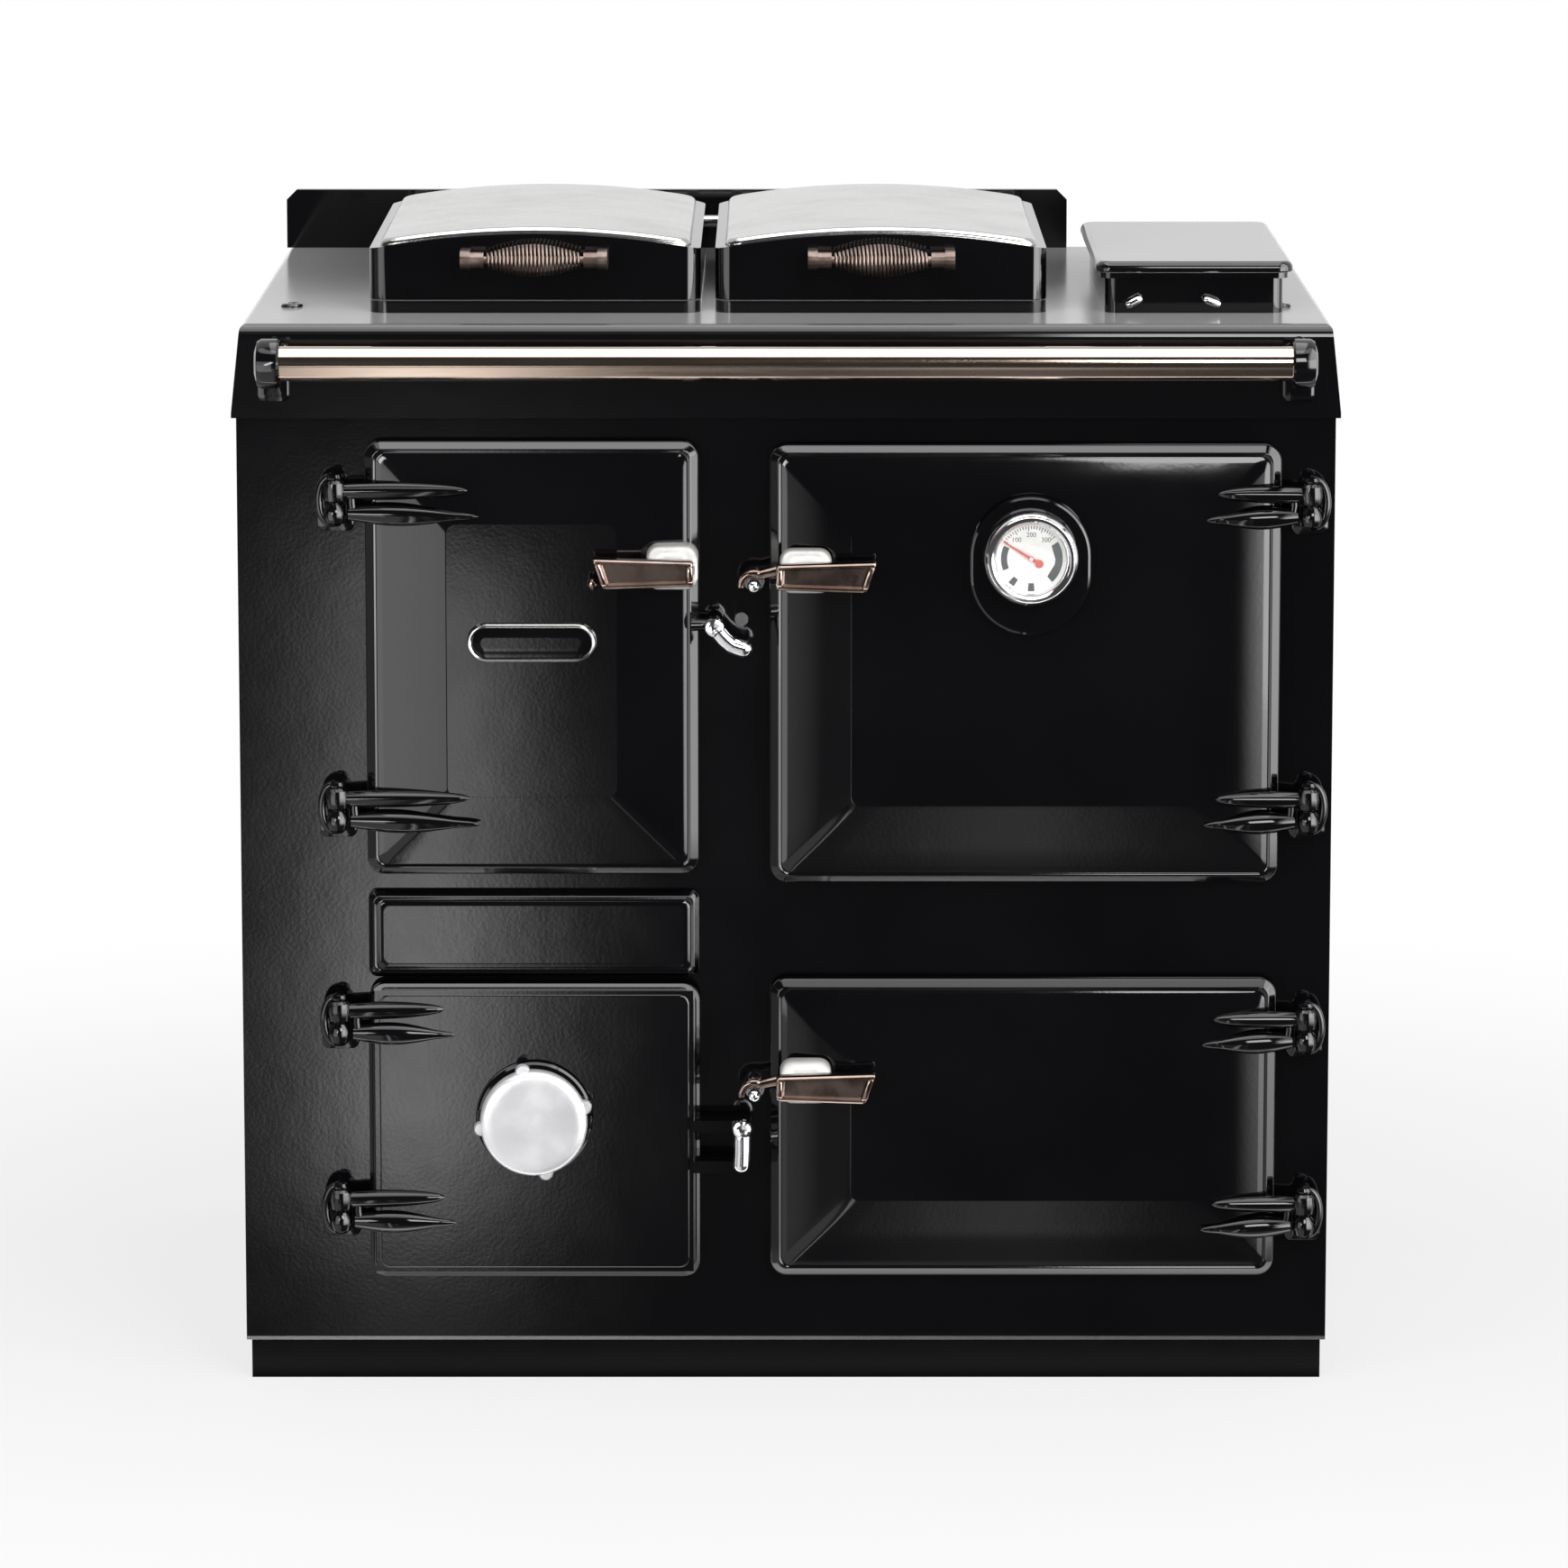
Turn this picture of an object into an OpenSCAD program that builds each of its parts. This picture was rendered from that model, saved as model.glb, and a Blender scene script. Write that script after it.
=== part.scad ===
// Cast iron range cooker: a solid-fuel range with a firebox and ashpit on the left, two ovens on
// the right, two hotplates under domed lids, a flue box on the hob and a hand rail in front.
// Millimetres. X runs to the right, the doors face -Y and Z is up. The origin lies on the floor,
// under the middle of the body.

/* [Carcass] */
// Width over the two side panels
body_w = 893; // [885:1:920]
// Depth from the face of the front plate to the face of the back panel
body_d = 600; // [594:2:640]
// Height of the hob face above the floor
hob_h = 879; // [876:1:900]
// Height of the black plinth
plinth_h = 33; // [28:1:40]
// How far the plinth stands in behind the body
plinth_in = 4; // [2:1:12]
// Wall of the plinth casting
plinth_wall = 12; // [8:1:20]
// Thickness of the steel hearth plate that shows as a bright line
hearth_t = 3; // [2:1:5]
// Thickness of the front, side and back plates
plate_t = 8; // [6:1:10]

/* [Hob] */
// Thickness of the hob's flat plate
hob_t = 12; // [10:1:14]
// Height of the hob casting from its bottom lip to its face
apron_h = 76; // [70:1:84]
// How far the bottom lip stands out past the side panels
hob_lip = 3.5; // [2:0.5:6]
// How much narrower each side of the hob is at the top than at the lip
hob_taper = 7; // [4:1:7]
// How far the apron stands in front of the front plate
apron_out = 8; // [6:1:12]
// Radius of the hob's front shoulder
shoulder_r = 12; // [8:1:14]
// Radius of the hob's side edges
side_r = 6; // [4:1:6]
// Height of the raised rim round each hotplate
rim_h = 10; // [8:1:14]
// Height of the upstand along the back edge
upstand_h = 52; // [40:1:70]
// Thickness of the upstand
upstand_t = 8; // [6:1:12]
// Length of the upstand
upstand_w = 694; // [660:1:700]

/* [Lids] */
// Width of a lid
lid_w = 272; // [264:1:274]
// Depth of a lid from front to back
lid_d = 392; // [380:1:400]
// Gap between the two lids
lid_gap = 12; // [10:1:16]
// Left edge of the left lid, from the middle of the range
lid_x = -342; // [-346:1:-338]
// Distance of the lids' front behind the front plate
lid_in = 78; // [72:1:84]
// Height of a lid's sides
lid_side_h = 43; // [38:1:50]
// Rise of the domed top across the lid
dome_rise = 11; // [8:1:16]
// Thickness of the polished dome
dome_t = 5; // [3:1:6]
// How far the dome stands in from the lid's edges
dome_in = 8; // [6:1:10]
// Height of the hinge rod's axis above the hob
lid_axis_h = 35; // [33:1:37]
// Distance of the hinge rod's axis behind the lid
lid_axis_back = 12; // [11.5:0.5:13]
// Radius of the hinge rod
lid_rod_r = 5; // [4:0.5:6]

/* [Lid grips] */
// Diameter of the spring wire of a grip
wire_d = 2.4; // [2:0.1:2.6]
// Number of turns of a grip
coil_turns = 24; // [18:1:24]
// Distance from one turn to the next
coil_pitch = 3.2; // [3.1:0.1:3.4]
// Radius of a grip's wire centre in the middle
coil_mid_r = 12.3; // [10:0.1:13]
// Radius of a grip's wire centre at its ends
coil_end_r = 5; // [4.8:0.1:5.2]
// Radius of the spindle inside a grip
spindle_r = 3.5; // [3:0.1:3.6]
// Distance of the spindle in front of the lid
grip_out = 25; // [24:1:32]
// Height of the spindle above the lid's underside
grip_h = 35; // [24:1:36]
// Distance from the lid's middle to a grip bracket's middle
grip_bracket_x = 56; // [54:1:64]

/* [Doors] */
// Left edge of the firebox and ashpit doors
left_x = -342; // [-344:1:-338]
// Width of the firebox and ashpit doors
left_w = 271; // [266:1:274]
// Left edge of the two oven doors
right_x = -13; // [-16:1:-10]
// Width of the two oven doors
right_w = 415; // [412:1:418]
// Bottom of the firebox door
fire_z = 428; // [424:1:432]
// Distance of the firebox door's top below the hob's lip
fire_down = 18; // [14:1:24]
// Gap between the firebox door and the fixed panel below it
infill_down = 15; // [12:1:20]
// Gap between the fixed panel and the ashpit door
infill_gap = 4; // [3:1:8]
// Bottom of the ashpit door
ash_z = 91; // [88:1:94]
// Height of the ashpit door
ash_h = 246; // [240:1:246]
// Bottom of the main oven door
main_z = 421; // [418:1:424]
// Distance of the main oven door's top below the hob's lip
main_down = 21; // [16:1:26]
// Bottom of the lower oven door
low_z = 91; // [88:1:94]
// Height of the lower oven door
low_h = 250; // [244:1:256]
// Corner radius of the doors
door_r = 14; // [10:1:16]
// Thickness of a domed door at its edge
door_edge = 12; // [10:1:14]
// Thickness of a domed door in its flat middle
door_mid = 24; // [20:1:25]
// Width of the sloped border of a domed door
door_border = 66; // [50:1:70]
// Thickness of the flat ashpit door and of the fixed panel
flat_door = 16; // [12:1:18]
// Gap between the doors' backs and the front plate, which the seal takes up
seal_gap = 4; // [3:0.5:5]
// How far each door overlaps the front plate round its opening
door_lap = 17; // [15:1:18]
// Gap between a door's liner and the opening that it enters
liner_gap = 6; // [5:1:8]
// Thickness of a door's liner
liner_t = 14; // [10:1:18]

/* [Door hinges] */
// Distance of a hinge axis beside its door
hinge_side = 24; // [23:1:26]
// Distance of a hinge axis in front of the front plate
hinge_out = 22; // [21.5:0.5:24]
// Radius of a hinge knuckle
knuckle_r = 9; // [8:0.5:10]
// Height of a hinge knuckle
knuckle_h = 18; // [16:1:22]
// Radius of a hinge pin
hinge_pin_r = 4.5; // [4:0.5:5]
// Length of the firebox door's strap arms
fire_strap = 108; // [95:1:120]
// Length of the ashpit door's strap arms
ash_strap = 86; // [75:1:100]
// Length of the oven doors' strap arms
oven_strap = 76; // [70:1:90]
// Heights of the lower hinges above the bottoms of the firebox, ashpit, main and lower oven doors
hinge_up = [64, 66, 70, 62]; // [60:1:72]
// Distances of the upper hinges below the tops of the same doors
hinge_down = [40, 22, 40, 33]; // [20:1:44]

/* [Handles and latches] */
// Length of a handle bar
bar_len = 82; // [76:1:90]
// Height of a handle bar at its root
bar_h = 25; // [22:1:28]
// Thickness of a handle bar from front to back
bar_t = 16; // [12:1:20]
// Finger gap between a handle bar and the flat of its door
bar_gap = 12; // [10:1:20]
// Radius of the pivots of the handles and latches
pivot_r = 4; // [3:0.5:5]
// Distance of an oven handle's pivot from its door's edge
handle_in = 29; // [26:1:34]
// Distance of an oven handle's keeper outside its door's edge
keeper_out = 13; // [13:1:15]
// Inner radius of the hook over a keeper
hook_r = 8; // [7.5:0.5:9]
// Radius of the ball end of a keeper
keeper_ball_r = 5.5; // [4:0.5:6]
// Distance of the main oven and firebox handles below the doors' tops
handle_down = 103; // [95:1:110]
// Distance of the lower oven handle below the door's top
low_handle_down = 84; // [78:1:90]
// Distance of the firebox latch's pivot below the door's top
fire_latch_down = 149; // [145:1:155]
// Distance of the ashpit latch's pivot below the door's top
ash_latch_down = 117; // [112:1:122]
// Length of a latch lever between the centres of its ends
latch_len = 38; // [34:1:40]
// Radius of a latch lever
latch_r = 6; // [5:0.5:6.5]

/* [Thermometer] */
// Distance of the thermometer from the middle of the range
gauge_x = 198; // [190:1:206]
// Distance of the thermometer below the main oven door's top
gauge_down = 88; // [82:1:96]
// Outer radius of the thermometer's bezel
gauge_r = 38; // [34:1:42]
// Depth of the thermometer's case
gauge_d = 22; // [18:1:26]
// Radius of the boss that carries the thermometer
gauge_boss_r = 46; // [44:1:48]

/* [Air wheel] */
// Height of the air wheel's centre above the ashpit door's bottom
wheel_up = 135; // [125:1:137]
// Radius of the air wheel
wheel_r = 44; // [40:1:48]
// Thickness of the air wheel
wheel_t = 16; // [14:1:20]
// Radius of the air wheel's stud
stud_r = 5; // [4:0.5:6]
// Radius of the bush in the air wheel
bush_r = 9; // [8:0.5:11]

/* [Hand rail] */
// Radius of the hand rail
rail_r = 14; // [12:0.5:15]
// Distance of the rail's axis in front of the front plate
rail_out = 70; // [64:1:76]
// Height of the rail's axis below the hob face
rail_down = 24; // [22:1:28]
// Distance from the middle of the range to the outer face of a rail bracket
rail_bracket_x = 424; // [416:1:430]
// Width of a rail bracket
rail_bracket_w = 18; // [16:1:24]

/* [Flue] */
// Distance from the right lid to the flue box
flue_gap = 48; // [44:1:54]
// Distance from the flue box to the outer face of the right side panel
flue_side = 38.5; // [34:0.5:44]
// Depth of the flue box from front to back
flue_d = 317; // [300:1:330]
// Height of the flue box
flue_h = 29; // [24:1:36]
// Wall of the flue box
flue_wall = 8; // [6:1:12]
// How far the cover stands out over the flue box
cover_out = 8; // [6:1:10]
// Thickness of the flue box cover
cover_t = 8; // [6:1:10]
// Radius of the rear flue outlet
outlet_r = 64; // [60:1:68]
// Distance of the rear flue outlet below the hob face
outlet_down = 189; // [180:1:200]
// Distance of the rear flue outlet from the outer face of the right side panel
outlet_side = 146.5; // [140:0.5:154]
// Length of the rear flue outlet behind the back panel
outlet_len = 40; // [30:1:60]

/* [Inside] */
// Depth of the ovens behind the front plate
oven_d = 410; // [380:1:420]
// Wall of the oven boxes
oven_wall = 6; // [5:1:8]
// Thickness of the fire bricks
brick_t = 34; // [30:1:36]
// Distance from the front plate to the boiler
fire_d = 350; // [330:1:360]
// Thickness of the boiler from front to back
boiler_d = 70; // [60:1:80]
// Height of the grate's top above the bottom of the firebox door's opening
grate_drop = 45; // [40:1:50]
// Thickness of the grate
grate_t = 16; // [14:1:20]
// Radius of the turning grate
grate_r = 98; // [90:1:104]
// Radius of the boiler's pipe sockets
tapping_r = 14; // [12:1:16]
// Length of the boiler's pipes behind the back panel
tapping_len = 30; // [25:1:40]

/* [Fit] */
// Running clearance of a pin in its bore, on the radius
pin_gap = 0.05; // [0.03:0.01:0.08]
// Clearance between pieces that move past each other
run_gap = 0.4; // [0.3:0.1:0.6]

/* [Hidden] */
$fn = 48;

enamel = "#17181b";
cast = "#2b2b2d";
steel = "#9a9a9c";
bright = "#d8d8da";
nickel = "#a3948c";
brick = "#c9a070";

cut = 1; // how far a cutter runs past the face it opens

// Planes of the carcass
half_w = body_w / 2;
y_front = -body_d / 2;
y_back = body_d / 2;
z_body = plinth_h + hearth_t;
z_lip = hob_h - apron_h;
z_under = hob_h - hob_t;
in_x = half_w - plate_t;
in_front = y_front + plate_t;
in_back = y_back - plate_t;

// Doors as [left, bottom, width, height]
fire_top = z_lip - fire_down;
main_top = z_lip - main_down;
ash_top = ash_z + ash_h;
low_top = low_z + low_h;
infill_z = ash_top + infill_gap;
fire_door = [left_x, fire_z, left_w, fire_top - fire_z];
infill = [left_x, infill_z, left_w, fire_z - infill_down - infill_z];
ash_door = [left_x, ash_z, left_w, ash_h];
main_door = [right_x, main_z, right_w, main_top - main_z];
low_door = [right_x, low_z, right_w, low_h];
y_door = y_front - seal_gap; // the doors' backs
y_edge = y_door - door_edge; // the rim of a domed door
y_mid = y_door - door_mid; // the flat of a domed door
y_flat = y_door - flat_door; // the face of the flat door

// Door hinges
left_axis = left_x - hinge_side;
right_axis = right_x + right_w + hinge_side;
y_axis = y_front - hinge_out;
strap_bury = 2; // how far a strap's tip stands in front of the face that it lies on
fire_hinges = [fire_z + hinge_up[0], fire_top - hinge_down[0]];
ash_hinges = [ash_z + hinge_up[1], ash_top - hinge_down[1]];
main_hinges = [main_z + hinge_up[2], main_top - hinge_down[2]];
low_hinges = [low_z + hinge_up[3], low_top - hinge_down[3]];

// Lids
lid_front = y_front + lid_in;
lid_back = lid_front + lid_d;
lid_z = hob_h + rim_h + 1;
left_lid_x = lid_x + lid_w / 2;
right_lid_x = left_lid_x + lid_w + lid_gap;
y_rod = lid_back + lid_axis_back;
z_rod = hob_h + lid_axis_h;
dome_w = lid_w - 2 * dome_in;
arch_r = (dome_w * dome_w / 4 + dome_rise * dome_rise) / (2 * dome_rise);
arch_z = lid_z + lid_side_h + dome_rise - arch_r;
lid_r = 14; // corner radius of a lid
lid_knuckle_r = lid_rod_r + 4;
lid_knuckle_x = 90; // from the lid's middle to a knuckle's middle
lid_bracket_x = 122; // from the lid's middle to a rod bracket's middle
grip_y = lid_front - grip_out;
grip_z = lid_z + grip_h;
coil_half = coil_turns * coil_pitch / 2;
collar_x = coil_half + wire_d; // the face that the wire's end meets

// Handles and latches
fire_handle_z = fire_top - handle_down;
main_handle_z = main_top - handle_down;
low_handle_z = low_top - low_handle_down;
fire_latch_z = fire_top - fire_latch_down;
ash_latch_z = ash_top - ash_latch_down;
y_bar = y_mid - bar_gap; // the back of a handle bar
oven_pivot_x = right_x + handle_in;
keeper_x = right_x - keeper_out;
keeper_drop = 10; // height of an oven handle's pivot above its keeper
hook_t = 6; // thickness of a hook, front to back
hub_r = pivot_r + 6;
y_hub = y_mid - 1.3; // the back of a handle's hub
pivot_pin = 10; // length of a pivot in its hub
left_edge = left_x + left_w; // the free edge of the left doors
fire_latch_out = 13; // from the door's edge to the firebox latch's pivot
ash_latch_out = 35; // from the door's edge to the ashpit latch's pivot
fire_stud_out = 22; // from the firebox latch's pivot to its stud
fire_stud_up = 6; // from the firebox latch's pivot up to its stud
ash_stud_down = 17; // from the ashpit latch's pivot down to its stud
fire_pivot_x = left_edge + fire_latch_out;
ash_pivot_x = left_edge + ash_latch_out;
latch_y = y_mid - 8; // the middle of a latch lever
latch_angle = 28; // slope of the firebox latch lever at rest
bar_root = left_edge - 5; // the root of the firebox handle's bar

// Firebox
brick_x0 = left_x + door_lap - brick_t + 2; // outer face of the left bricks
brick_x1 = left_edge - door_lap + brick_t - 2; // outer face of the right bricks
z_grate = fire_z + door_lap - grate_drop;
z_seat = z_grate - grate_t; // the top of the grate seat
seat_t = 20;
y_boiler = y_front + fire_d;
y_boiler_back = y_boiler + boiler_d;
grate_x = (brick_x0 + brick_x1) / 2;
grate_y = in_front + (y_boiler - in_front) / 2;
z_brick_top = z_lip - 3;

// Ovens, with outer faces one wall outside the door openings
oven_x0 = right_x + door_lap - oven_wall;
oven_x1 = right_x + right_w - door_lap + oven_wall;
low_z0 = low_z + door_lap - oven_wall;
low_z1 = low_z + low_h - door_lap + oven_wall;
main_z0 = main_z + door_lap - oven_wall;
main_z1 = main_top - door_lap + oven_wall;
oven_back = y_front + oven_d;

// Rounded rectangle with its lower left corner at (x, y)
module rrect(x, y, w, h, r) {
    translate([x + r, y]) square([w - 2 * r, h]);
    translate([x, y + r]) square([w, h - 2 * r]);
    for (a = [x + r, x + w - r], b = [y + r, y + h - r]) translate([a, b]) circle(r);
}

// Moves a shape to a point with its own +Z turned to face out of the front
module outward(x, y, z) { translate([x, y, z]) rotate([90, 0, 0]) children(); }

// An outline in X and Z, as thick as t, with its back at y
module front_slab(y, t) { translate([0, y, 0]) rotate([90, 0, 0]) linear_extrude(t) children(); }

// An outline in Y and Z carried from x0 to x1
module side_slab(x0, x1) {
    translate([x0, 0, 0]) rotate([90, 0, 90]) linear_extrude(x1 - x0) children();
}

// A box given by its two corners
module block(a, b) { translate(a) cube(b - a); }

// A door's outline drawn in by a margin
module door_outline(d, in, r) { rrect(d[0] + in, d[1] + in, d[2] - 2 * in, d[3] - 2 * in, r); }

// A quarter round from angle a0 to a1 about (x, y), as points
function arc(x, y, r, a0, a1) = [for (i = [0:8]) let(a = a0 + (a1 - a0) * i / 8)
    [x + r * cos(a), y + r * sin(a)]];

// --- Carcass ---

module plinth() {
    color("black") difference() {
        block([-half_w + plinth_in, y_front + plinth_in, 0],
            [half_w - plinth_in, y_back - plinth_in, plinth_h]);
        block([-half_w + plinth_in + plinth_wall, y_front + plinth_in + plinth_wall, plinth_wall],
            [half_w - plinth_in - plinth_wall, y_back - plinth_in - plinth_wall, plinth_h + cut]);
    }
}

module hearth_plate() {
    color(bright) block([-half_w, y_front, plinth_h], [half_w, y_back, z_body]);
}

module side_panels() {
    color(enamel) for (s = [0, 1]) mirror([s, 0, 0])
        block([in_x, in_front, z_body], [half_w, in_back, z_lip]);
}

module back_panel() {
    color(cast) difference() {
        block([-half_w, in_back, z_body], [half_w, y_back, z_lip]);
        outward(outlet_x, y_back + cut, outlet_z) cylinder(h = plate_t + 2 * cut,
            r = outlet_r + 2);
        for (z = tapping_z) outward(tapping_x, y_back + cut, z)
            cylinder(h = plate_t + 2 * cut, r = tapping_r + 4);
    }
}

module front_plate() {
    color(enamel) difference() {
        block([-half_w, y_front, z_body], [half_w, in_front, z_lip]);
        for (d = [fire_door, ash_door, main_door, low_door])
            front_slab(in_front + cut, plate_t + 2 * cut) door_outline(d, door_lap, door_r / 2);
    }
}

module infill_panel() {
    inner = 8; // width of the bevel round the panel
    color(enamel) intersection() {
        front_slab(y_front, flat_door) door_outline(infill, 0, door_r / 2);
        edge_profiles(infill, y_front, flat_door - 5, flat_door, inner);
    }
}

// --- Hob ---

// Front view of the hob: flared sides with rounded top edges
function hob_front_points() = let(lip = half_w + hob_lip, top = lip - hob_taper) concat(
    [[-lip, z_lip], [lip, z_lip], [lip, z_lip + 4]],
    arc(top - side_r, hob_h - side_r, side_r, 0, 90),
    arc(side_r - top, hob_h - side_r, side_r, 90, 180), [[-lip, z_lip + 4]]);

// Side view of the hob: upright back, round front shoulder
function hob_side_points() = concat([[y_front - apron_out, z_lip], [y_back, z_lip],
    [y_back, hob_h]], arc(shoulder_y, shoulder_z, shoulder_r, 90, 180));
shoulder_y = y_front - apron_out + shoulder_r;
shoulder_z = hob_h - shoulder_r;

plate_in = 16; // from a lid's edge to the hotplate's recess
ledge = 8; // width of the ledge that carries a hotplate
ledge_t = hob_t / 2;
plate_seat = z_under + ledge_t;

// A rounded rectangle of a lid's size, drawn in, about the lid's middle
module lid_outline(x, in, r) {
    rrect(x - lid_w / 2 + in, lid_front + in, lid_w - 2 * in, lid_d - 2 * in, r);
}

module hob() {
    color(enamel) difference() {
        union() {
            intersection() {
                front_slab(y_back, body_d + apron_out) polygon(hob_front_points());
                side_slab(-half_w - hob_lip, half_w + hob_lip) polygon(hob_side_points());
            }
            for (x = [left_lid_x, right_lid_x])
                translate([0, 0, hob_h - cut]) linear_extrude(rim_h + cut) lid_outline(x, 0, lid_r);
        }
        block([-in_x, in_front, z_lip - cut], [in_x, in_back, z_under]);
        for (x = [left_lid_x, right_lid_x]) {
            translate([0, 0, plate_seat]) linear_extrude(hob_t + rim_h)
                lid_outline(x, plate_in, lid_r / 2);
            translate([0, 0, z_under - cut]) linear_extrude(hob_t)
                lid_outline(x, plate_in + ledge, lid_r / 2);
        }
        block([flue_x + flue_wall, flue_y + flue_wall, z_under - cut],
            [flue_x + flue_w - flue_wall, flue_y + flue_d - flue_wall, hob_h + cut]);
    }
}

module hob_upstand() {
    chamfer = 9;
    x0 = -half_w + 2.5; // the left end of the upstand
    color(enamel) front_slab(y_back, upstand_t) polygon([[x0, hob_h], [x0 + upstand_w, hob_h],
        [x0 + upstand_w, hob_h + upstand_h - chamfer],
        [x0 + upstand_w - chamfer, hob_h + upstand_h], [x0 + chamfer, hob_h + upstand_h],
        [x0, hob_h + upstand_h - chamfer]]);
}

module hotplates() {
    plate_gap = 1; // round the plate in its recess
    below = 6; // how far the ribbed middle hangs below the hob's flat plate
    color(cast) for (x = [left_lid_x, right_lid_x]) {
        translate([0, 0, plate_seat]) linear_extrude(hob_h + rim_h - 1 - plate_seat)
            lid_outline(x, plate_in + plate_gap, lid_r / 2);
        translate([0, 0, z_under - below]) linear_extrude(plate_seat - z_under + below)
            lid_outline(x, plate_in + ledge + plate_gap, lid_r / 2);
    }
}

// The rod is fixed in its brackets, which stand on the hob behind the lids
module lid_hinge_rod() {
    bracket_w = 10;
    bracket_r = lid_axis_back - 2;
    reach = lid_bracket_x + bracket_w / 2 + 2;
    color(steel) {
        translate([left_lid_x - reach, y_rod, z_rod]) rotate([0, 90, 0])
            cylinder(h = right_lid_x - left_lid_x + 2 * reach, r = lid_rod_r);
        for (x = [left_lid_x, right_lid_x], s = [-1, 1])
            side_slab(x + s * lid_bracket_x - bracket_w / 2, x + s * lid_bracket_x + bracket_w / 2)
                union() {
                    translate([y_rod, z_rod]) circle(bracket_r);
                    translate([y_rod - bracket_r, hob_h]) square([2 * bracket_r, lid_axis_h]);
                }
    }
}

// --- Lids ---

lid_wall = 8;
lid_shell = 5; // thickness of the casting under the dome
liner_in = 4; // from a lid's edge to its liner
liner_plate = 4;

// A full-length round bar whose upper side is the arch of the lids, lowered by a depth
module lid_arch(x, down) {
    translate([x, lid_front - cut, arch_z]) rotate([-90, 0, 0])
        cylinder(h = lid_d + 2 * cut, r = arch_r - down, $fn = 96);
}

// Hollow casting with an arched top, open below, and two knuckles on its back
module lid(x) {
    knuckle_w = 20;
    color(enamel) difference() {
        union() {
            difference() {
                intersection() {
                    translate([0, 0, lid_z]) linear_extrude(lid_side_h + dome_rise)
                        lid_outline(x, 0, lid_r);
                    lid_arch(x, 0);
                }
                intersection() {
                    translate([0, 0, lid_z - cut]) linear_extrude(lid_side_h + dome_rise)
                        lid_outline(x, lid_wall, lid_r / 2);
                    lid_arch(x, lid_shell);
                }
                translate([0, 0, lid_z - cut]) linear_extrude(liner_plate + 1 + cut)
                    lid_outline(x, liner_in, lid_r - liner_in);
            }
            for (s = [-1, 1]) side_slab(x + s * lid_knuckle_x - knuckle_w / 2,
                x + s * lid_knuckle_x + knuckle_w / 2) union() {
                    translate([y_rod, z_rod]) circle(lid_knuckle_r);
                    translate([lid_back - cut, z_rod - lid_knuckle_r])
                        square([lid_axis_back + cut, 2 * lid_knuckle_r]);
                }
        }
        translate([x - lid_w / 2, y_rod, z_rod]) rotate([0, 90, 0])
            cylinder(h = lid_w, r = lid_rod_r + pin_gap);
    }
}

// Plate that closes the lid below, seated on a ledge inside its wall
module lid_liner(x) {
    side = 0.5;
    color(steel) translate([0, 0, lid_z + 1]) linear_extrude(liner_plate)
        lid_outline(x, liner_in + side, lid_r - liner_in - side);
}

module lid_dome(x) {
    color(bright) intersection() {
        translate([0, 0, lid_z]) linear_extrude(lid_side_h + dome_rise + dome_t)
            lid_outline(x, dome_in, lid_r);
        difference() {
            lid_arch(x, -dome_t);
            lid_arch(x, 0);
        }
    }
}

// Spindle, its two end collars and the two brackets that hold it off the lid
module grip_mount(x) {
    bracket_w = 8;
    bracket_r = 8;
    reach = grip_bracket_x + bracket_w / 2;
    collar_r = coil_end_r + wire_d / 2 + 0.5;
    color(nickel) {
        translate([x - reach, grip_y, grip_z]) rotate([0, 90, 0])
            cylinder(h = 2 * reach, r = spindle_r);
        for (s = [0, 1]) translate([x, 0, 0]) mirror([s, 0, 0]) {
            translate([collar_x, grip_y, grip_z]) rotate([0, 90, 0])
                cylinder(h = grip_bracket_x - collar_x, r = collar_r);
            side_slab(grip_bracket_x - bracket_w / 2, grip_bracket_x + bracket_w / 2) union() {
                translate([grip_y, grip_z]) circle(bracket_r);
                translate([grip_y, grip_z - bracket_r]) square([grip_out, 2 * bracket_r]);
            }
        }
    }
}

// The grip's wire is one tube: a barrel-shaped coil whose two ends turn square to the collars
coil_rings = 8; // rings in each turn
wire_sides = 6;
coil_last = coil_turns * coil_rings;
function coil_radius(u) = coil_end_r + (coil_mid_r - coil_end_r) * sin(180 * u / coil_turns);
function spoke(u) = [0, cos(360 * u), sin(360 * u)];
function coil_point(u) = [coil_pitch * u - coil_half, 0, 0] + coil_radius(u) * spoke(u);
coil_path = concat([coil_point(0) - [wire_d, 0, 0]],
    [for (i = [0:coil_last]) coil_point(i / coil_rings)],
    [coil_point(coil_turns) + [wire_d, 0, 0]]);
function unit(v) = v / norm(v);
// Direction of the path at point i: the mean of the stretches before and after it
function coil_way(i) = let(n = len(coil_path) - 1) i == 0 || i == n ? [1, 0, 0]
    : unit(unit(coil_path[i] - coil_path[i - 1]) + unit(coil_path[i + 1] - coil_path[i]));
function coil_ring(i) = let(u = (i - 1) / coil_rings, e = spoke(i == 0 ? 0
        : min(u, coil_turns)), t = coil_way(i), a = unit(e - (e * t) * t), b = cross(t, a))
    [for (k = [0:wire_sides - 1]) let(g = 360 * k / wire_sides)
        coil_path[i] + wire_d / 2 * (cos(g) * a + sin(g) * b)];
// Least distance between the wire and itself, half a turn or more further along
coil_clear = min([for (i = [0:len(coil_path) - 1], j = [i + 4:1:len(coil_path) - 1])
    norm(coil_path[i] - coil_path[j])]) - wire_d;
echo(coil_gap_to_itself = coil_clear);

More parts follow.
